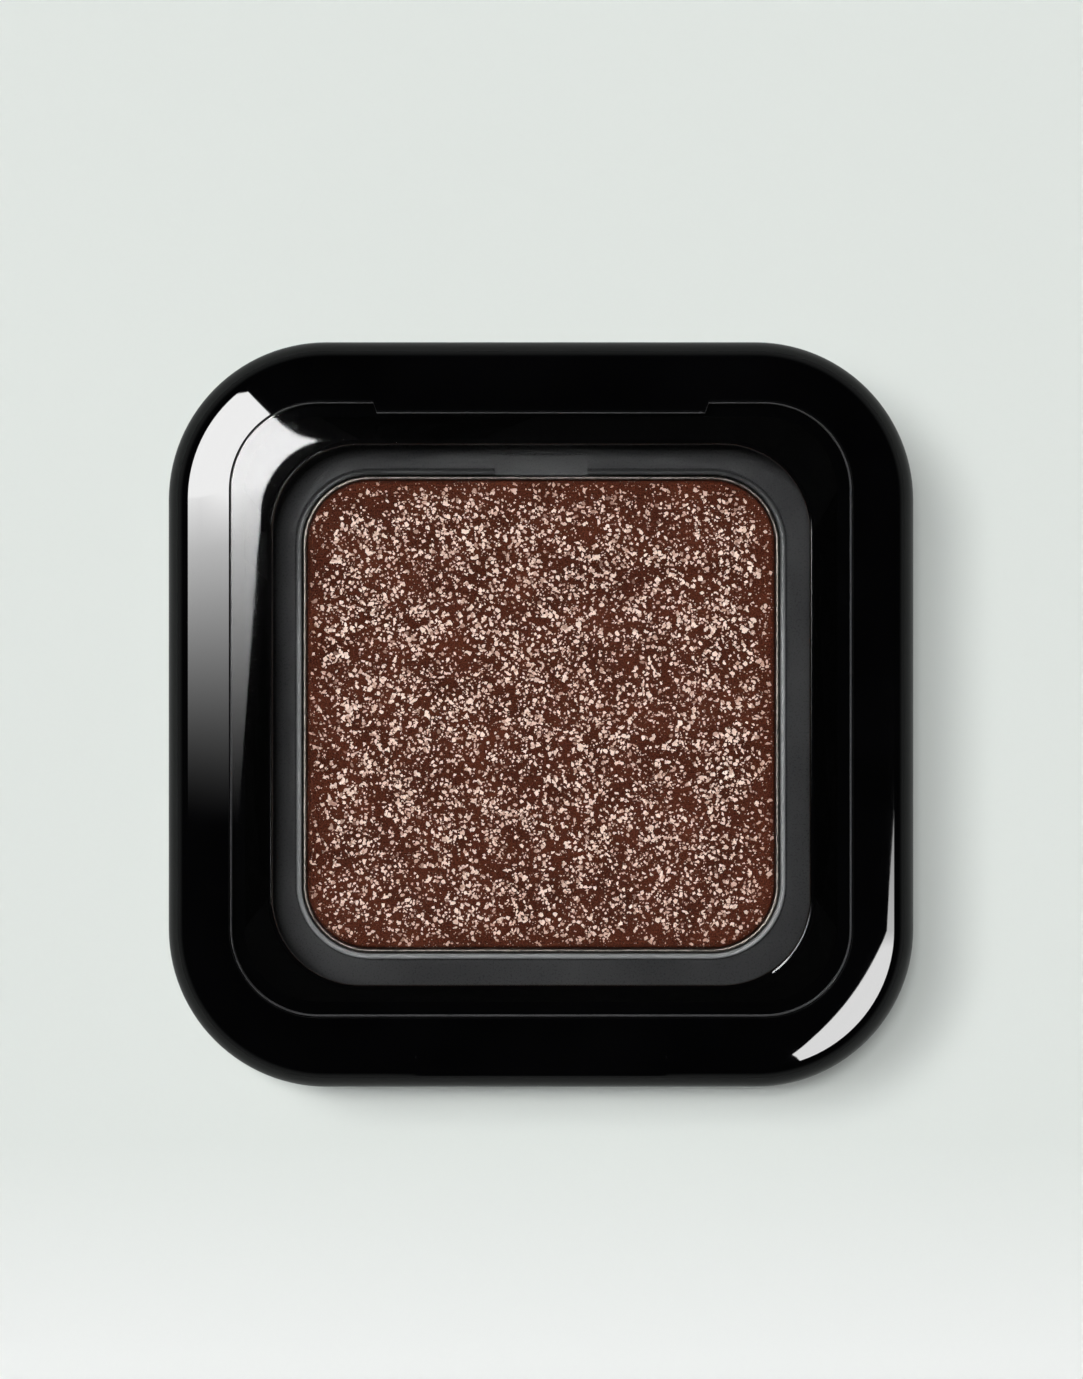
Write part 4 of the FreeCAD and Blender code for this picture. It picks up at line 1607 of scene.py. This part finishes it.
@dataclass(frozen=True)
class Softbox:
    """Flat lamp panel overhead, given by the directions of its corners in degrees from the vertical."""

    name: str
    corners: tuple[Pair, ...]
    strength: float
    fade: Pair
    fade_way: Pair = (0.0, 1.0)
    fade_power: float = 1.0
    lights_matt: bool = True
    height: float = 2.0

    def reach(self, angle: float) -> float:
        """Distance aside, in metres, at which the panel is seen under an angle in degrees."""
        return self.height * math.tan(math.radians(angle))

    def build(self) -> Piece:
        """Makes the panel as part of the stage.

        Returns:
            The panel.
        """
        corners = [(self.reach(x), self.reach(y), self.height) for x, y in self.corners]
        panel = flat_piece(self.name, corners)
        dress(panel, self._glow())
        panel.visible_diffuse = self.lights_matt
        panel.visible_shadow = False
        return panel

    def _glow(self) -> Material:
        """Light that rises from nothing to full across the panel's fade.

        Returns:
            The material.
        """
        shader = Shader(f"{self.name}_glow")
        links = {0: shader.spot(), 1: (*self.fade_way, 0.0)}
        along = shader.node("VectorMath", links, operation="DOT_PRODUCT").outputs["Value"]
        rise = shader.span(along, 0.0, 1.0, *(self.reach(angle) for angle in self.fade))
        level = shader.combine("MULTIPLY", shader.combine("POWER", rise, self.fade_power), self.strength)
        return shader.output(shader.node("Emission", {"Strength": level}).outputs["Emission"])


LEFT_CORNERS = ((-3.0, 5.4), (-15.5, 19.8), (-27.0, 17.5), (-27.0, -2.5), (-13.8, -2.5))
RIGHT_CORNERS = ((26.0, 1.0), (8.7, -22.5), (13.5, -26.5), (30.5, -3.0))
SOFTBOXES = (
    Softbox("softbox_left", LEFT_CORNERS, 21.0, (-1.8, 3.2), fade_power=2.0),
    Softbox("softbox_right", RIGHT_CORNERS, 17.0, (-1.0, 6.0), (0.0, -1.0), lights_matt=False),
)


@dataclass(frozen=True)
class Studio:
    """Pale table, two softboxes, a fill lamp, a dim room and the camera overhead. Lengths are in metres."""

    image: tuple[int, int] = (1083, 1379)
    case_pixels: float = 744.4
    centre_pixel: Pair = (541.0, 714.5)
    lens: float = 135.0
    sensor: float = 36.0
    clip: Pair = (0.01, 20.0)
    floor_half: float = 6.0
    floor_level: float = -0.0001
    floor_colour: Triple = (0.612, 0.645, 0.621)
    floor_dim: float = 0.97
    floor_scale: float = 9.0
    floor_roughness: float = 0.8
    floor_gloss: float = 0.2
    front_painted_light: Triple = (0.705, 0.722, 0.713)
    front_light_fade: Pair = (-0.038, -0.025)
    mirror_share: float = 0.35
    fill_power: float = 36.0
    fill_place: Triple = (-0.10, 0.20, 2.38)
    fill_size: float = 0.36
    room_colour: Triple = (0.955, 1.0, 0.97)
    horizon: float = 0.62
    zenith: float = 0.004
    horizon_fade: Pair = (0.1, 0.42)

    def build(self, outline: Outline, girdle: float) -> None:
        """Makes the table, the room, the lights and the camera.

        Args:
            outline: The case seen from above, in millimetres.
            girdle: Height of the widest part of the case, in metres.
        """
        self._table()
        self._room()
        for panel in SOFTBOXES:
            panel.build()
        self._fill()
        self._camera(outline, girdle)

    def _table(self) -> None:
        """Pale table top, faintly uneven, with painted light that makes it paler towards the front, seen
        from above only and darker in mirror images.
        """
        reach = self.floor_half
        corners = [(x, y, self.floor_level) for x, y in rectangle(-reach, reach, -reach, reach)]
        table = flat_piece("table_top", corners)
        shader = Shader("pale_table")
        cloud = shader.noise(self.floor_scale, detail=3.0)
        plain = shader.tones(cloud, scaled(self.floor_colour, self.floor_dim), self.floor_colour)
        # Painted light: the table turns paler towards the front.
        front = shader.span(shader.along(), 1.0, 0.0, *self.front_light_fade)
        seen = shader.mix(front, plain, self.front_painted_light)
        mirrored = shader.node("LightPath").outputs["Is Glossy Ray"]
        tone = shader.mix(mirrored, seen, scaled(self.floor_colour, self.mirror_share))
        links = {"Roughness": self.floor_roughness, "Specular IOR Level": self.floor_gloss}
        solid = shader.node("BsdfPrincipled", {"Base Color": tone, **links}).outputs["BSDF"]
        below = shader.node("NewGeometry").outputs["Backfacing"]
        clear = shader.node("BsdfTransparent").outputs["BSDF"]
        dress(table, shader.output(shader.layer(below, solid, clear)))

    def _room(self) -> None:
        """Room that is pale near the horizon, less so in mirror images, and dark overhead."""
        world = bpy.data.worlds.new("dim_room")
        bpy.context.scene.world = world
        world.use_nodes = True
        nodes = Nodes(world.node_tree)
        seen = nodes.node("LightPath").outputs["Is Camera Ray"]
        pale = nodes.span(seen, self.mirror_share * self.horizon, self.horizon, 0.0, 1.0)
        way = nodes.node("TexCoord").outputs["Generated"]
        up = nodes.node("SeparateXYZ", {"Vector": way}).outputs["Z"]
        strength = nodes.span(up, pale, self.zenith, *self.horizon_fade, kind="SMOOTHSTEP")
        links = {"Color": (*self.room_colour, 1.0), "Strength": strength}
        nodes.node("OutputWorld", {"Surface": nodes.node("Background", links).outputs["Background"]})

    def _fill(self) -> None:
        """Light from overhead that has no image in the gloss."""
        data = bpy.data.lights.new("overhead_fill", "AREA")
        data.shape = "DISK"
        data.size = self.fill_size
        data.energy = self.fill_power
        lamp = scene_object("overhead_fill", data)
        lamp.location = self.fill_place
        lamp.rotation_euler = Vector(self.fill_place).to_track_quat("Z", "Y").to_euler()
        lamp.visible_glossy = False
        lamp.visible_camera = False

    def _camera(self, outline: Outline, girdle: float) -> None:
        """Camera straight above, framed as the photograph is.

        Args:
            outline: The case seen from above, in millimetres.
            girdle: Height of the widest part of the case, in metres.
        """
        scale = self.case_pixels / (2.0 * outline.half_width * MM)
        reach = max(self.image) / scale * self.lens / self.sensor
        aside = (self.image[0] / 2.0 - self.centre_pixel[0]) / scale
        ahead = (self.centre_pixel[1] - self.image[1] / 2.0) / scale
        data = bpy.data.cameras.new("overhead_camera")
        data.lens, data.sensor_width = self.lens, self.sensor
        data.clip_start, data.clip_end = self.clip
        camera = scene_object("overhead_camera", data)
        camera.location = (aside, ahead, girdle + reach)
        bpy.context.scene.camera = camera


def dress_hidden(nodes: Iterable[str], finish: Material) -> None:
    """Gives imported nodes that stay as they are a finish.

    Args:
        nodes: Names of the nodes.
        finish: Their material.
    """
    for node in nodes:
        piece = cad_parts[node]
        piece.data.materials.clear()
        dress(piece, finish)
        LOG.info("%s: kept, dressed as %s", node, finish.name)


def main() -> None:
    """Builds every piece in order, then the studio."""
    logging.basicConfig(level=logging.INFO, format="%(name)s: %(message)s")
    bpy.context.scene.view_settings.view_transform = "Standard"
    form = CaseForm()
    lid, base = Lid(form), Base(form)
    black, steel = GlossBlack().material(), PIN_STEEL.material()
    lid.build_frame(black)
    lid.build_window(ClearPlastic().material(), PlateEdge().material())
    base.build_shell(black)
    for node in ("hinge_pin_left", "hinge_pin_right"):
        base.build_pin(node, steel)
    insert = Insert(base.well, base.ledge_level)
    insert.build_tray(SatinGrey().material(), LipPaintedHighlight().material())
    insert.build_pan(PanMetal().material())
    insert.build_cake(PressedPowder().material())
    powder_top = node_box("eyeshadow_cake")[1].z
    Shimmer(insert.cake, powder_top, insert.grain).build(ShimmerFlake().material())
    dress_hidden(("pan_adhesive", "window_adhesive"), GLUE_FILM.material())
    dress_hidden(("bottom_label",), LABEL_PAPER.material())
    Studio().build(form.outline, form.edge_centre * MM)


if __name__ == "__main__":
    main()
